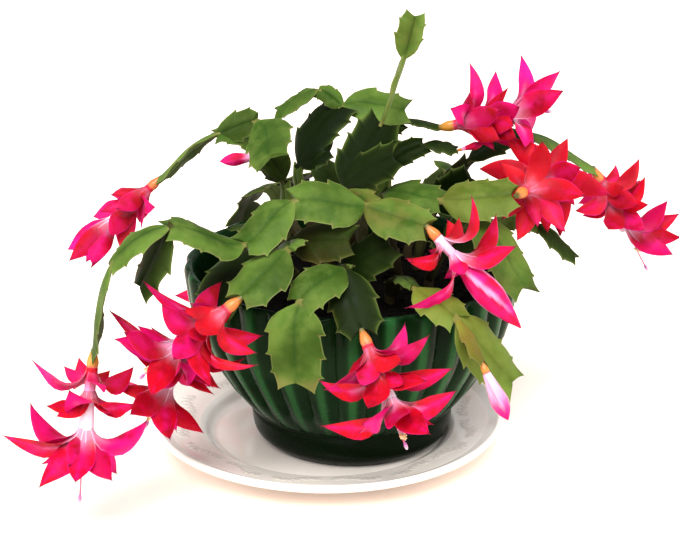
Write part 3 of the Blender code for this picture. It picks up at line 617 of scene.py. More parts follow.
def petal_finish():
    finish = Finish("petal_red", Subsurface_Weight=0.20, Subsurface_Scale=0.003, IOR=1.38,
                    Specular_IOR_Level=0.10, Subsurface_Radius=(1.0, 0.12, 0.30))
    streaks, clouds = finish.noise(620.0, 4.0), finish.noise(110.0)
    tone = finish.math("ADD", finish.mark("tone"), finish.span(clouds, 0.3, 0.7, -0.18, 0.18))
    shade = finish.math("ADD", finish.part("under", 0.85),
                        finish.span(finish.noise(75.0), 0.46, 0.72, 0.0, 0.55))
    pale = finish.math("ADD", finish.mark("pale"), finish.span(clouds, 0.3, 0.7, -0.1, 0.1))
    finish.colour(
        finish.mix(finish.span(tone, 0.1, 0.9), (0.46, 0.001, 0.006), (0.58, 0.005, 0.170)),
        (finish.span(streaks, 0.45, 0.75, 0.0, 0.25), (0.62, 0.010, 0.10)),
        (shade, (0.22, 0.0008, 0.008)),
        (finish.mark("salmon"), (0.62, 0.030, 0.030)),
        (finish.span(pale, 0.05, 0.95), (0.62, 0.25, 0.42)),
        (finish.mark("white"), (0.66, 0.54, 0.62)),
        (finish.mark("tip"), (0.10, 0.004, 0.018)),
    )
    finish.roughness(clouds, 0.42, 0.58)
    finish.bump(streaks, 0.00010)
    return finish.material


def stamen_finish():
    finish = Finish("stamen_cream", Subsurface_Weight=0.2, Subsurface_Scale=0.001, IOR=1.4)
    finish.colour(
        finish.mix(finish.mark("pink"), (0.62, 0.42, 0.42), (0.50, 0.008, 0.14)),
        (finish.mark("cream"), (0.64, 0.47, 0.24)),
        (finish.mark("violet"), (0.36, 0.06, 0.30)),
        (finish.span(finish.noise(900.0), 0.4, 0.7, 0.0, 0.3), (0.66, 0.54, 0.44)),
        (finish.mark("white"), (0.64, 0.55, 0.62)),
    )
    finish.roughness(finish.noise(600.0), 0.40, 0.60)
    return finish.material


# ---- Saucer, bowl and soil


def sprig_height(angle, radius):
    """The leaf sprigs raised on the saucer's rim: 0 to 1 at a place."""
    turn = angle / math.tau * SPRIGS
    number = math.floor(turn)
    flip = -1.0 if number % 2 else 1.0
    along = (turn - number - 0.5) * math.tau / SPRIGS * radius / MM
    out = (radius / MM - SPRIG_LINE) * flip
    stalk = SPRIG_WAVE * math.sin(along * 0.20)
    stalk_end = smooth(SPRIG_HALF, SPRIG_HALF + 3.0, abs(along))
    best = math.exp(-(((out - stalk) / 0.7) ** 2)) * 0.7 * (1.0 - stalk_end)
    for k in range(LEAVES):
        root = -SPRIG_HALF + k * LEAF_PITCH
        dx, dy = along - root, out - SPRIG_WAVE * math.sin(root * 0.20)
        length = LEAF_LENGTH - 0.35 * abs(k - LEAVES // 2)
        for way in (-1, 1):
            lean = math.radians(LEAF_LEAN * way)
            u = dx * math.cos(lean) + dy * math.sin(lean)
            v = -dx * math.sin(lean) + dy * math.cos(lean)
            if 0.0 < u < length:
                half = LEAF_HALF * math.sin(math.pi * u / length) ** 0.8
                vein = 0.25 * math.exp(-((v / 0.25) ** 2))
                best = max(best, 1.0 - smooth(half * 0.55, half * 1.15, abs(v)) - vein)
    return max(0.0, best)


def saucer():
    """The china plate: a well with a creased edge, a wide rim with leaf sprigs, a rolled lip."""
    well, foot, lip, floor = SAUCER_WELL_RADIUS, SAUCER_FOOT_RADIUS, SAUCER_RADIUS, SAUCER_FLOOR
    upper = [
        (8.0 * MM, floor), (well - 6.0 * MM, floor),
        (well, floor + 0.2 * MM),
        (well + 4.0 * MM, floor + 4.0 * MM),
        (well + 7.0 * MM, floor + 5.6 * MM),
        (lip - 8.0 * MM, floor + 9.6 * MM),
        (lip - 3.6 * MM, floor + 11.9 * MM),
        (lip - 1.6 * MM, floor + 12.6 * MM),
        (lip, floor + 11.2 * MM),
        (lip - 1.0 * MM, floor + 8.6 * MM),
        (lip - 12.0 * MM, floor + 3.2 * MM),
        (foot + 8.0 * MM, 1.6 * MM),
        (foot + 1.0 * MM, 0.3 * MM), (foot, 0.0), (8.0 * MM, 0.0),
    ]
    fine = smooth_profile(upper[4:6], 26)[:-1]
    profile = smooth_profile(upper[:5], 4)[:-1] + fine + smooth_profile(upper[5:], 4)
    shell = Shell("relief", "hollow")
    rings = []
    for radius, height in profile:
        points, relief, hollow = [], [], []
        on_rim = upper[4][0] < radius < upper[5][0] and height > SAUCER_FLOOR
        fade = smooth(upper[4][0], upper[4][0] + 3.0 * MM, radius)
        fade *= smooth(upper[5][0], upper[5][0] - 3.0 * MM, radius)
        for k in range(SAUCER_STEPS):
            angle = math.tau * k / SAUCER_STEPS
            raised = sprig_height(angle, radius) * fade if on_rim else 0.0
            points.append(Vector((SAUCER_OFFSET + radius * math.cos(angle), radius * math.sin(angle),
                                  height + raised * SPRIG_HEIGHT)))
            relief.append(raised)
            hollow.append(fade * 0.55 * math.exp(-(((raised - 0.30) / 0.22) ** 2)) if on_rim else 0.0)
        rings.append(shell.ring(points, relief=relief, hollow=hollow))
    shell.closed(rings)
    shell.piece("china_saucer", china_finish(), ["saucer"], crease=50.0)


def bowl():
    """The bowl: rounded lobes all round above a plain foot, an open inside, a soft rim."""
    foot, wide, step, top = FOOT_RADIUS, BOWL_RADIUS, FOOT_HEIGHT, BOWL_HEIGHT
    outline = [
        (foot - 9.0 * MM, 0.5 * MM, 0.0),
        (foot - 7.6 * MM, 0.0, 0.0),
        (foot - 1.8 * MM, 6.0 * MM, 0.0),
        (foot, step - 4.0 * MM, 0.0),
        (foot, step - 1.0 * MM, 0.0),
        (foot + 2.5 * MM, step + 1.5 * MM, 0.3),
        (foot + 14.0 * MM, step + 16.0 * MM, 0.8),
        (wide - 5.5 * MM, step + 47.0 * MM, 1.0),
        (wide, top - 5.0 * MM, 1.0),
        (wide - 0.2 * MM, top - 1.6 * MM, 0.8),
        (wide - 1.8 * MM, top, 0.4),
        (wide - WALL + 0.6 * MM, top - 0.6 * MM, 0.0),
        (wide - 1.5 * MM - WALL, top - 4.0 * MM, 0.0),
        (wide - 7.0 * MM - WALL, step + 47.0 * MM, 0.0),
        (foot + 11.5 * MM - WALL, step + 16.0 * MM, 0.0),
        (foot - 6.0 * MM - WALL, BOWL_FLOOR, 0.0),
        (8.0 * MM, BOWL_FLOOR, 0.0),
    ]
    around = LOBES * POINTS_PER_LOBE
    shell = Shell("crest", "foot")
    under = [Vector((x, y, BOWL_BASE + 0.5 * MM)) for x, y in circle(6.0 * MM, around)]
    rings = [shell.ring(under, foot=1.0)]
    for radius, height, depth in smooth_profile([(r, z, d * LOBE_DEPTH) for r, z, d in outline], 5):
        points, crest = [], []
        for k in range(around):
            angle = math.tau * k / around
            swell = abs(math.sin(angle * LOBES / 2)) ** 0.75
            reach = radius - depth * (1.0 - swell)
            points.append(Vector((reach * math.cos(angle), reach * math.sin(angle), BOWL_BASE + height)))
            # Glaze thinning on each lobe's ridge, and a painted highlight line there
            crest.append(smooth(0.86, 1.0, swell) * depth / LOBE_DEPTH)
        on_foot = 1.0 - smooth(step - 2.0 * MM, step + 4.0 * MM, height)
        rings.append(shell.ring(points, crest=crest, foot=on_foot))
    shell.closed(rings)
    shell.piece("glazed_bowl", glaze_finish(), ["bowl"], crease=60.0)


def soil_height(x, y):
    """The soil's mounded top, with dips and grains."""
    radius = math.hypot(x, y) / BOWL_RADIUS
    bumps = math.sin(0.31 * x / MM + 1.0) * math.cos(0.27 * y / MM) + math.sin(0.17 * (x - y) / MM)
    rough = noise.noise(Vector((x, y, 0.0)) * 260.0) + 0.5 * noise.noise(Vector((x, y, 1.0)) * 700.0)
    return SOIL_TOP + SOIL_MOUND * (1.0 - radius**2) + (0.8 * bumps + 1.1 * rough) * MM


def soil():
    """The soil's rough top with its crumbs, over a plain body that fills the bowl."""
    shell = Shell("pale")
    rings = []
    for radius, height in ((FOOT_RADIUS - 12.0 * MM, BOWL_FLOOR + 1.0 * MM),
                           (FOOT_RADIUS + 5.5 * MM, FOOT_HEIGHT + 16.0 * MM),
                           (BOWL_RADIUS - 13.0 * MM, FOOT_HEIGHT + 47.0 * MM)):
        rings.append(shell.ring([Vector((x, y, BOWL_BASE + height)) for x, y in circle(radius, SOIL_SIDES)]))
    for number in range(SOIL_CIRCLES):
        around = circle(SOIL_RADIUS * (1.0 - number / SOIL_CIRCLES), SOIL_SIDES)
        rings.append(shell.ring([Vector((x, y, soil_height(x, y))) for x, y in around]))
    shell.skin(rings)
    shell.cap(rings[0])
    shell.point(rings[-1], Vector((0.0, 0.0, soil_height(0.0, 0.0))))
    rng = random.Random("crumbs")
    for _ in range(CRUMBS):
        angle, radius = rng.uniform(0, math.tau), SOIL_RADIUS * 0.97 * math.sqrt(rng.random())
        x, y = radius * math.cos(angle), radius * math.sin(angle)
        size = rng.uniform(0.8, 2.3) * MM
        pale = 1.0 if rng.random() < 0.06 else 0.0
        centre = Vector((x, y, soil_height(x, y) + 0.2 * size))
        rings = []
        for height, share in ((-0.9, 0.35), (-0.35, 0.95), (0.35, 0.9), (0.85, 0.4)):
            radii = [size * share * rng.uniform(0.75, 1.15) for _ in range(6)]
            level = centre + Vector((0, 0, height * size * 0.8))
            points = round_ring(level, Vector((1, 0, 0)), Vector((0, 1, 0)), radii)
            rings.append(shell.ring(points, pale=pale))
        shell.closed(rings)
    shell.piece("potting_soil", soil_finish(), ["soil"], crease=70.0)


# ---- Leafy stems

COLUMNS = (-1.0, -0.95, -0.85, -0.68, -0.48, -0.28, -0.12, 0.0, 0.12, 0.28, 0.48, 0.68, 0.85, 0.95, 1.0)
MARGIN_STEPS = (0.0, 0.14, 0.32, 0.52, 0.70, 0.84, 0.93)


def spline_point(ends, tangents, t):
    """A point and direction on the curved midrib between two joints; past them it runs straight."""
    (a, b), (da, db) = ends, tangents
    if t > 1.0:
        return b + db * (t - 1.0), db.normalized()
    if t < 0.0:
        return a + da * t, da.normalized()
    place = (2 * t**3 - 3 * t**2 + 1) * a + (t**3 - 2 * t**2 + t) * da
    place += (3 * t**2 - 2 * t**3) * b + (t**3 - t**2) * db
    slope = (6 * t**2 - 6 * t) * (a - b) + (3 * t**2 - 4 * t + 1) * da + (3 * t**2 - 2 * t) * db
    return place, slope.normalized()


def joint_tangents(places):
    """The way that a branch takes at each of its joints."""
    found = []
    for i in range(len(places)):
        before, after = places[max(i - 1, 0)], places[min(i + 1, len(places) - 1)]
        found.append((after - before).normalized())
    return found


def facing_of(start, end, turn):
    """The way a segment's broad face looks: up, out from the bowl and a little to the light."""
    chord = end - start
    middle = (start + end) / 2
    outward = Vector((middle.x, middle.y - LIGHT_LEAN, 0.0)).normalized()
    hint = outward + Vector((0.0, 0.0, 1.0))
    normal = (hint - hint.project(chord)).normalized()
    return Matrix.Rotation(math.radians(turn), 3, chord.normalized()) @ normal


def margin(outline, rng):
    """One edge of a segment, from its neck to its horn: (place along it, half width, areole)."""
    found = []
    place, share = 0.0, NECK_SHARE
    for number, (tip, wide) in enumerate(outline):
        last = number == len(outline) - 1
        tip += 0.0 if last else rng.uniform(-0.02, 0.02)
        body = wide * (0.97 if last else rng.uniform(0.87, 0.92))
        power = 2.5 if number == 0 else 1.7
        for t in MARGIN_STEPS:
            rise = 1.0 - (1.0 - t) ** power
            spine = (wide - body) * max(0.0, (t - 0.78) / 0.22) ** 1.6
            sore = 1.0 if t == 0.0 and number > 0 else 0.0
            found.append((place + (tip - place) * t, share + (body - share) * rise + spine, sore))
        found.append((tip, wide, 0.25))
        place, share = tip + 0.008, wide * rng.uniform(0.80, 0.86)
    return found


def rib_place(edge_place):
    """The place on the midrib of the row that ends at a place on the edge."""
    return edge_place * 0.684 if edge_place < 0.38 else edge_place - 0.12


def segment(shell, ends, tangents, turn, width, outline, rng, looks):
    """One flat segment, toothed along its edges, with soft halves and a groove on its midrib."""
    length = (ends[1] - ends[0]).length
    tangents = [t * length for t in tangents]
    normal = facing_of(ends[0], ends[1], turn)
    side = (ends[1] - ends[0]).cross(normal).normalized()
    edges = [margin(outline, rng) for _ in range(2)]
    woody = looks["wood"]
    seed = rng.uniform(0, 50)
    rings = []
    sunk = -NECK_SUNK / length
    left_right = [((sunk, NECK_SHARE, 1.0), (sunk, NECK_SHARE, 1.0))] + list(zip(*edges))
    for number, ends_of_row in enumerate(left_right):
        edge_mean = (ends_of_row[0][0] + ends_of_row[1][0]) / 2
        on_rib = edge_mean if number == 0 else rib_place(edge_mean)
        faces = {1: [], -1: []}
        marks = {1: [], -1: []}
        for column in COLUMNS:
            on_edge, share, sore = ends_of_row[0 if column < 0 else 1]
            across = abs(column)
            reach = on_rib + (on_edge - on_rib) * across**1.6
            spot, along = spline_point(ends, tangents, reach)
            up = side.cross(along).normalized()
            half = width / 2 * share
            base = spot + side * half * column - up * SEGMENT_ARCH * half * across**1.3
            away = min(1.0, max(0.0, reach) / 0.2)
            ripple = noise.noise(base * 55.0 + Vector((seed, 0.0, 0.0)))
            wave = ripple * 1.5 * MM * away * (0.25 + 0.75 * across)
            wave += math.sin(reach * 17.0 + seed + (0.0 if column < 0 else 2.0)) * 0.5 * MM * across**3 * away
            base += up * wave
            bulk = EDGE_HALF + (RIB_HALF - EDGE_HALF) * (1.0 - across**2.4) ** 0.8
            bulk *= 1.0 + woody * 0.9
            puff = 0.42 * MM * math.sin(math.pi * min(1.0, across * 1.15)) * away if across < 0.87 else 0.0
            groove = 0.62 * MM * math.exp(-((across / 0.10) ** 2)) * (1.0 - woody) * away
            faces[1].append(base + up * (bulk + puff - groove))
            faces[-1].append(base - up * (bulk + 0.35 * puff - 0.5 * groove))
            rib = math.exp(-((across / 0.07) ** 2)) * (1.0 - smooth(0.55, 1.0, reach))
            collar = 1.0 - smooth(-0.02, 0.05, reach)
            scar = looks["scar"] * smooth(0.86, 1.0, reach) * (0.3 + 0.7 * across)
            areole = max(collar, sore * smooth(0.88, 1.0, across) * 0.9, scar)
            for face in (1, -1):
                # One half of each segment is painted lighter and the other darker, as if lit from one side:
                # painted light and shade
                half_painted_shade = 0.22 * looks["half"] * math.tanh(column * 6.0)
                over = face == 1
                marks[face].append((across, rib * over, areole, 1.0 - over, reach, half_painted_shade))
        ring_points = faces[1] + faces[-1][-2:0:-1]
        ring_marks = marks[1] + marks[-1][-2:0:-1]
        names = ("edge", "rib", "areole", "under")
        values = {name: [m[i] for m in ring_marks] for i, name in enumerate(names)}
        yellow = [looks["yellow"] * (0.75 - 0.5 * m[4]) for m in ring_marks]
        blush = [looks["blush"] * (1.0 - 0.6 * abs(m[4] - 0.4)) for m in ring_marks]
        tone = [min(1.0, max(0.0, looks["tone"] + m[5])) for m in ring_marks]
        dark = [looks["dark"] * (1.0 - 0.45 * smooth(0.80, 1.0, m[0])) for m in ring_marks]
        rings.append(shell.ring(ring_points, tone=tone, wood=woody, yellow=yellow, blush=blush,
                                dark=dark, **values))
    shell.closed(rings)


def segment_width(length, order):
    """A segment's width; the lowest ones of a stem are woody, then narrow."""
    if order == 0:
        return WOODY_WIDTH
    full = min(WIDEST_SEGMENT, WIDTH_TO_LENGTH * length)
    return full * (0.6 if order == 1 else 1.0)


def bears(stem_name, number):
    """Whether a bloom or a bud grows at the end of a branch."""
    return (stem_name, number) in [entry[:2] for entry in (*BLOOMS.values(), *BUDS.values())]


def leafy_stem(name, material):
    """A stem, from its root in the soil to the ends of its branches."""
    root, branches = STEMS[name]
    rng = random.Random(name)
    shell = Shell("edge", "rib", "areole", "under", "tone", "wood", "yellow", "blush", "dark")
    foot = Vector((root[0] * MM, root[1] * MM, SOIL_TOP + SOIL_MOUND + STUMP))
    below = foot - Vector((0, 0, SOIL_MOUND + STUMP + ROOT_DEPTH))
    tube(shell, [below, (below + foot) / 2, foot, foot + Vector((0, 0, STUMP))],
         [ROOT_RADIUS, ROOT_RADIUS, ROOT_RADIUS * 0.95, ROOT_RADIUS * 0.6], 12, wood=1.0)
    for number, branch in enumerate(branches):
        joints = [Vector(joint[:3]) * MM for joint in branch]
        turns = [joint[3] if len(joint) > 3 else 0.0 for joint in branch]
        if number == 0:
            joints.insert(0, foot)
            turns.insert(0, 0.0)
        tangents = joint_tangents(joints)
        for i in range(len(joints) - 1):
            order = i if number == 0 else 2
            length = (joints[i + 1] - joints[i]).length
            last = i == len(joints) - 2
            outline = PLAIN if order < 2 and not last else TOOTHED if length > LONG_SEGMENT else YOUNG
            if last and bears(name, number):
                outline = outline[:-1] + (BEARING_HORN,)
            key = (name, number, i)
            # Segments deep inside the plant get painted shade: a darker mark and a lower tone
            inner = joints[i + 1].xy.length < INNER_RADIUS and joints[i + 1].z < INNER_HEIGHT
            dark = PAINTED_SHADE.get(key, INNER_PAINTED_SHADE if inner else BACK_STEM_SHADE.get(name, 0.0))
            looks = {
                "tone": rng.uniform(0.25, 1.0) * (0.4 if inner else 1.0),
                "wood": (0.85, 0.25)[order] if order < 2 else 0.0,
                "yellow": YELLOWED.get(key, 0.0),
                "blush": BLUSH.get(key, 0.12 if rng.random() < 0.3 else 0.0),
                "scar": SCARRED.get(key, 0.0),
                "dark": 1.0 - (1.0 - dark) ** 1.6,
                # which half of the segment has painted light and which painted shade
                "half": rng.choice((-1.0, 1.0)),
            }
            segment(shell, joints[i : i + 2], tangents[i : i + 2], turns[i + 1],
                    segment_width(length, order), outline, rng, looks)
    shell.piece(f"leafy_{name}", material, [f"stem_{name}"], crease=50.0)


# ---- Blooms and buds

TEPAL_COLUMNS = (-1.0, -0.86, -0.60, -0.30, 0.0, 0.30, 0.60, 0.86, 1.0)
TEPAL_ROWS = 13
MUCRO = 1.05  # a tepal's fine point, past its blade


def tip_of(stem_name, branch_number, way):
    """Where a bloom sits on the end of a branch, further out where it points aside."""
    end = Vector(STEMS[stem_name][1][branch_number][-1][:3]) * MM
    before = Vector(STEMS[stem_name][1][branch_number][-2][:3]) * MM
    along = (end - before).normalized()
    dip = end - (end - before) * APEX_DIP
    return dip + along * (OVARY_SEAT + OVARY_ASIDE * (1.0 - along.dot(way)))


def ovary(name, node, base, way, size, tone, material):
    """The ovary: a green neck that swells into an orange cone with soft ribs."""
    shell = Shell("along", "tone")
    low, high = OVARY_RADII
    across, other = axes_of(way)
    rings = []
    start = -OVARY_ROOT
    for i in range(OVARY_STEPS + 1):
        t = i / OVARY_STEPS
        distance = start + (OVARY_LENGTH * size + CLEARANCE - start) * t
        swell = low * 0.75 + (high - low * 0.75) * smooth(0.0, 0.75, t) - 0.10 * high * smooth(0.8, 1.0, t)
        radii = [size * swell * (1.0 + 0.05 * math.cos(5 * math.tau * k / OVARY_SIDES) * t)
                 for k in range(OVARY_SIDES)]
        rings.append(shell.ring(round_ring(base + way * distance, across, other, radii), along=t, tone=tone))
    shell.closed(rings)
    shell.piece(name, material, [node])


def tepal_share(t):
    """A tepal's half width along it: narrow at its base, full at its middle, pointed."""
    rise = 0.30 + 0.70 * math.sin(math.pi / 2 * min(1.0, t / 0.50))
    fall = 1.0 if t < 0.50 else 1.0 - ((min(t, 1.0) - 0.50) / 0.50) ** 1.5
    return max(0.03, rise * fall)


def turn_to_light(way, outward, angle):
    """How far a tepal's blade turns about its own length, so that a broad face meets the light."""
    ahead = way * math.cos(angle) + outward * math.sin(angle)
    inner = way * math.sin(angle) - outward * math.cos(angle)
    light = Vector(LIGHT_WAY) - Vector(LIGHT_WAY).project(ahead)
    if light.dot(inner) < 0.0:
        light.negate()
    turn = min(inner.angle(light), math.radians(TEPAL_TURN))
    return math.copysign(turn, ahead.dot(inner.cross(light)))


def tepal(shell, base, way, outward, length, width, open_angle, rng, looks):
    """One tepal: a thin cupped blade that leaves the tube, turns and curves away from it, and
    ends in a fine point."""
    side = way.cross(outward)
    start_angle = math.radians(TEPAL_START)
    bend = TEPAL_BEND * open_angle
    turn = turn_to_light(way, outward, open_angle)
    cup = TEPAL_CUP * rng.uniform(0.7, 1.7)
    twist = math.radians(rng.uniform(-16, 16))
    curl = math.radians(rng.uniform(-16, 22))
    tone = min(1.0, max(0.0, looks["tone"] + rng.uniform(-0.45, 0.45)))
    shaded = rng.uniform(0.0, 0.6) ** 1.5
    seed = rng.uniform(0, 40)
    rings, place, reached = [], base.copy(), 0.0
    for row in range(TEPAL_ROWS + 1):
        at = row / TEPAL_ROWS
        middle = (at + reached) / 2
        angle = start_angle + (open_angle - start_angle) * min(1.0, middle * 1.7) + bend * middle**2
        angle += curl * max(0.0, middle - 0.45) ** 2 * 3.0
        ahead = way * math.cos(angle) + outward * math.sin(angle)
        place = place + ahead * (at - reached) * length
        reached = at
        inner = way * math.sin(angle) - outward * math.cos(angle)
        spin = Matrix.Rotation(twist * at + turn * smooth(0.0, TURNED_BY, at), 3, ahead)
        turned_side, turned_inner = spin @ side, spin @ inner
        half = width / 2 * tepal_share(at)
        upper, lower, upper_marks, lower_marks = [], [], [], []
        for column in TEPAL_COLUMNS:
            across = abs(column)
            ripple = noise.noise(place * 90 + Vector((seed, column, 0)))
            lift = cup * half * across**2 + ripple * 0.5 * MM * across
            spot = place + turned_side * half * column * (1.0 - 0.12 * cup * across**2) + turned_inner * lift
            thick = (0.10 + 0.32 * (1.0 - across**2)) * MM * (1.0 - 0.5 * at)
            groove = 0.18 * MM * math.exp(-((column / 0.22) ** 2)) * (1.0 - at)
            upper.append(spot + turned_inner * (thick - groove))
            lower.append(spot - turned_inner * (thick + groove * 0.4))
            streak = math.exp(-((column / 0.30) ** 2))
            base_pale = (1.0 - smooth(0.05, 0.46, at)) * looks["pale"]
            edge_line = smooth(0.93, 1.0, across) * 0.30 * smooth(0.1, 0.5, at)
            end = max(smooth(0.95, 1.0, at), edge_line)
            deep = min(1.0, max(0.0, tone + 0.30 * (at - 0.35) + 0.40 * (streak - 0.55)))
            upper_marks.append((min(1.0, 0.95 * base_pale + 0.50 * streak * (1.0 - smooth(0.2, 0.85, at))),
                                base_pale**2 * 0.85, end, min(1.0, deep + 0.18), shaded))
            lower_marks.append((min(1.0, 0.50 * base_pale + 0.12 * streak * (1.0 - smooth(0.2, 0.7, at))),
                                base_pale**2 * 0.25, end, max(0.0, deep - 0.10), 0.5 + shaded))
        marks = upper_marks + lower_marks[-2:0:-1]
        names = ("pale", "white", "tip", "tone", "under")
        values = {name: [m[i] for m in marks] for i, name in enumerate(names)}
        rings.append(shell.ring(upper + lower[-2:0:-1], salmon=looks["salmon"], **values))
    shell.skin(rings)
    shell.cap(rings[0])
    shell.point(rings[-1], place + ahead * length * (MUCRO - 1.0), tip=1.0, tone=tone)


def furled(shell, base, way, outline, turns, looks):
    """A round body of tepals furled about each other: each one's edge lies over the next."""
    across, other = axes_of(way)
    length = outline[-1][0]
    rings = []
    for distance, radius in smooth_profile(outline, 6):
        radii, pale, white, tone, line = [], [], [], [], []
        share = distance / length
        for k in range(FURLED_SIDES):
            phase = (FOLDS * k / FURLED_SIDES + turns * share) % 1.0
            lap = smooth(0.0, 0.82, phase) * (1.0 - smooth(0.90, 1.0, phase))
            radii.append(radius * (0.93 + 0.13 * lap))
            # A pale streak along each lapping edge: a painted highlight
            near_edge = smooth(0.55, 0.92, phase) * (1.0 - smooth(0.93, 1.0, phase))
            root = 1.0 - smooth(looks["pale_from"], looks["pale_to"], share)
            pale.append(min(1.0, root + looks["streak"] * near_edge * (1.0 - smooth(0.6, 0.95, share))))
            white.append(root**2 * looks["white"])
            tone.append(min(1.0, looks["tone"] + 0.25 * lap))
            edge = smooth(0.74, 0.86, phase) * (1.0 - smooth(0.90, 1.0, phase)) * smooth(0.05, 0.25, share)
            line.append(max(looks["line"] * edge, 0.5 * smooth(0.96, 1.0, share)))
        rings.append(shell.ring(round_ring(base + way * distance, across, other, radii), pale=pale,
                                white=white, tone=tone, salmon=looks["salmon"], tip=line))
    shell.closed(rings)


def corolla(name, base, way, size, tone, tiers, material):
    """The pale tube of a bloom and its tepals in tiers, or a furled tip while it is half open."""
    rng = random.Random(name)
    shell = Shell("pale", "white", "tip", "tone", "salmon", "under")
    low, waist, throat = (radius * size for radius in TUBE_RADII)
    length = TUBE_LENGTH * size
    across, other = axes_of(way)
    if not tiers[2]:
        swell = 1.55 * throat
        profile = [(0.0, low), (0.45 * length, waist), (0.9 * length, swell), (1.25 * length, 1.1 * swell),
                   (1.65 * length, 0.6 * swell), (1.9 * length, 0.06 * swell)]
        furled(shell, base, way, profile, 0.9,
               {"pale_from": 0.0, "pale_to": 0.42, "streak": 0.9, "white": 0.6, "tone": tone,
                "salmon": 0.1, "line": 0.15})
    else:
        rings = []
        for distance, radius in smooth_profile([(0.0, low), (0.45 * length, waist), (length, throat)], 7):
            t = distance / length
            radii = [radius * (1.0 + 0.05 * math.cos(TUBE_RIBS * math.tau * k / TUBE_SIDES))
                     for k in range(TUBE_SIDES)]
            rings.append(shell.ring(round_ring(base + way * distance, across, other, radii),
                                    pale=0.2 + 0.8 * smooth(0.05, 0.5, t), white=0.9 * smooth(0.30, 0.65, t),
                                    tone=0.3 * tone))
        shell.closed(rings)
    front = Vector((0.0, -1.0, 0.0))
    front = (front - front.project(way)).normalized()

    for tier, ((distance, reach, width), tepals) in enumerate(zip(TIERS, tiers)):
        looks = {"tone": tone + (0.0, 0.03, 0.08)[tier], "salmon": (0.10, 0.04, 0.0)[tier],
                 "pale": (0.40, 0.60, 1.0)[tier] if tiers[2] else 0.9}

        def grow(side, distance, seat, share, slim, opened):
            outward = Matrix.Rotation(math.radians(side), 3, way) @ front
            start = base + way * distance * size + outward * seat * size * MM
            tepal(shell, start, way, outward, reach * size * share, width * size * slim, opened,
                  rng, looks)

        covering = [cover[1:] for cover in COVERING.get(name, ()) if cover[0] == tier]
        for side, opening, share in (*tepals, *covering):
            grow(side, distance, TEPAL_SEAT, share, 1.0, math.radians(opening))
        ordered = sorted(tepals)
        for number in range(SMALL_TEPALS if tepals else 0):
            near, after = ordered[number % len(ordered)], ordered[(number + 1) % len(ordered)]
            between = near[0] + ((after[0] - near[0]) % 360) * rng.uniform(0.4, 0.6)
            opened = math.radians(min(near[1], after[1])) * rng.uniform(0.75, 0.95)
            grow(between, distance - SMALL_LOWER, SMALL_SEAT, rng.uniform(0.65, 0.85), SMALL_WIDTH,
                 opened)
    shell.piece(f"tepals_{name}", material, [f"corolla_{name}"], crease=62.0)


def bead(shell, centre, way, length, radius, sides, **values):
    """A small long bead about a way."""
    places = [centre + way * length * share for share in (-0.5, -0.32, 0.0, 0.32, 0.5)]
    tube(shell, places, [radius * share for share in (0.25, 0.78, 1.0, 0.78, 0.25)], sides, **values)


def stamens(name, base, way, size, reaching, material):
    """The bundle of stamens with their anthers, and the style with its stigma through it."""
    rng = random.Random(name + " stamens")
    shell = Shell("pink", "cream", "violet", "white")
    across, other = axes_of(way)
    reach = STAMEN_LENGTH * size
    droop = (way + Vector((0, 0, -0.12))).normalized()
    for k in range(FILAMENTS):
        angle = GOLDEN_ANGLE * k
        out = across * math.cos(angle) + other * math.sin(angle)
        wide = math.sqrt((k + 0.5) / FILAMENTS)
        end = reach * rng.uniform(0.78, 0.97)
        start = base - way * 3.0 * MM + out * 1.3 * MM * wide
        finish = base + way * end + out * rng.uniform(0.5, 1.7) * wide * MM * size
        finish += Vector((0, 0, -1)) * 0.8 * MM
        middle = (start + finish) / 2 + out * 0.5 * MM * wide
        tube(shell, [start, middle, finish], [0.22 * MM, 0.20 * MM, 0.15 * MM], 5, pink=[0.35, 0.12, 0.0])
        lean = (way + out * rng.uniform(-0.5, 0.9)).normalized()
        bead(shell, finish + way * 0.4 * MM, lean, rng.uniform(1.5, 2.1) * MM, 0.55 * MM, 6, cream=1.0)
    tip = STYLE_LENGTH * size * reaching
    steps = 7
    bow = droop.cross(across).normalized()
    places = [base + droop * tip * 0.9 * i / steps + bow * 0.5 * MM * math.sin(math.pi * i / steps)
              for i in range(steps + 1)]
    pinks = [0.25 + 0.75 * i / steps for i in range(steps + 1)]
    tube(shell, places, [0.42 * MM] * (steps + 1), 8, pink=pinks)
    bead(shell, base + droop * (tip - 2.2 * MM), droop, 4.2 * MM, 1.0 * MM, 10,
         violet=[1.0, 1.0, 0.9, 0.7, 0.4], white=[0.0, 0.0, 0.05, 0.35, 0.8])
    shell.piece(f"pistil_{name}", material, [f"stamens_{name}"])


def bloom(name, finishes):
    """An ovary with its corolla, and with its stamens once it is open."""
    stem_name, branch_number, way, size, reaching, tone, tiers = BLOOMS[name]
    way = Vector(way).normalized()
    base = tip_of(stem_name, branch_number, way)
    red = REDDENED.get(name, USUAL_REDDENED)
    ovary(f"berry_{name}", f"ovary_{name}", base, way, size, red, finishes["ovary"])
    tube_base = base + way * (OVARY_LENGTH * size + CLEARANCE)
    corolla(name, tube_base, way, size, tone, tiers, finishes["petal"])
    if reaching:
        throat = tube_base + way * (TUBE_LENGTH * size + CLEARANCE)
        stamens(name, throat, way, size, reaching, finishes["stamen"])


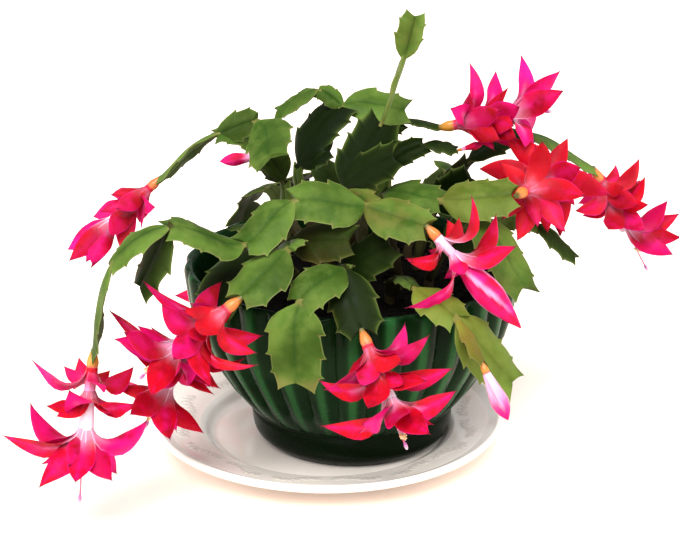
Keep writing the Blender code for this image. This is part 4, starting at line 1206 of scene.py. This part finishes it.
def bud(name, finishes):
    """A closed bud on its ovary."""
    stem_name, branch_number, way, size, pale = BUDS[name]
    way = Vector(way).normalized()
    base = tip_of(stem_name, branch_number, way)
    ovary(f"berry_bud_{name}", f"ovary_bud_{name}", base, way, BUD_OVARY * size, 0.5, finishes["ovary"])
    start = base + way * (OVARY_LENGTH * BUD_OVARY * size + CLEARANCE)
    length, wide = BUD_LENGTH * size, BUD_RADIUS * size
    profile = [(0.0, 0.45 * wide), (0.35 * length, 0.78 * wide), (0.62 * length, wide),
               (0.84 * length, 0.66 * wide), (length, 0.06 * wide)]
    shell = Shell("pale", "white", "tip", "tone", "salmon", "under")
    furled(shell, start, way, profile, 0.5,
           {"pale_from": 0.1, "pale_to": 0.25 + 1.3 * pale, "streak": 1.2 * pale, "white": 0.5 * pale,
            "tone": 0.3 + 1.1 * pale, "salmon": 0.1, "line": 0.15 + 0.5 * pale})
    shell.piece(f"closed_bud_{name}", finishes["petal"], [f"bud_{name}"], crease=62.0)


# ---- Stage


def stage():
    """A plain pale floor, soft studio light, and the camera."""
    mesh = bpy.data.meshes.new("floor")
    far = FLOOR_REACH
    mesh.from_pydata([(-far, -far, 0), (far, -far, 0), (far, far, 0), (-far, far, 0)], [], [(0, 1, 2, 3)])
    pale = Finish("pale_floor", Emission_Strength=0.10, Emission_Color=(1.0, 1.0, 1.0, 1.0), Roughness=0.9)
    pale.colour((0.90, 0.77, 0.68))
    mesh.materials.append(pale.material)
    placed("floor", mesh)

    world = bpy.data.worlds.new("studio")
    bpy.context.scene.world = world
    world.use_nodes = True
    back = world.node_tree.nodes["Background"]
    back.inputs["Color"].default_value = (1.0, 1.0, 1.0, 1.0)
    back.inputs["Strength"].default_value = SKY_POWER

    sun = bpy.data.lights.new("key", "SUN")
    sun.energy, sun.angle = SUN_POWER, math.radians(SUN_ANGLE)
    placed("key", sun, rotation=(*map(math.radians, SUN_TILT), 0.0))
    for name, (width, height, power, location, aim) in SOFT_BOXES.items():
        box = bpy.data.lights.new(name, "AREA")
        box.shape, box.size, box.size_y, box.energy = "RECTANGLE", width, height, power
        facing = (Vector(aim) - Vector(location)).to_track_quat("-Z", "Y").to_euler()
        placed(name, box, location, facing)

    camera = bpy.data.cameras.new("camera")
    camera.sensor_width, camera.lens, camera.clip_end = CAMERA_SENSOR, CAMERA_LENS, 50.0
    tilt = (math.radians(90.0 - CAMERA_ELEVATION), 0.0, 0.0)
    bpy.context.scene.camera = placed("camera", camera, CAMERA_PLACE, tilt)
    bpy.context.scene.view_settings.view_transform = "Standard"


def main():
    """Makes every piece, then the stage."""
    finishes = {"ovary": ovary_finish(), "petal": petal_finish(), "stamen": stamen_finish()}
    green = cactus_finish()
    saucer()
    bowl()
    soil()
    for name in STEMS:
        leafy_stem(name, green)
    for name in BLOOMS:
        bloom(name, finishes)
    for name in BUDS:
        bud(name, finishes)
    stage()


main()
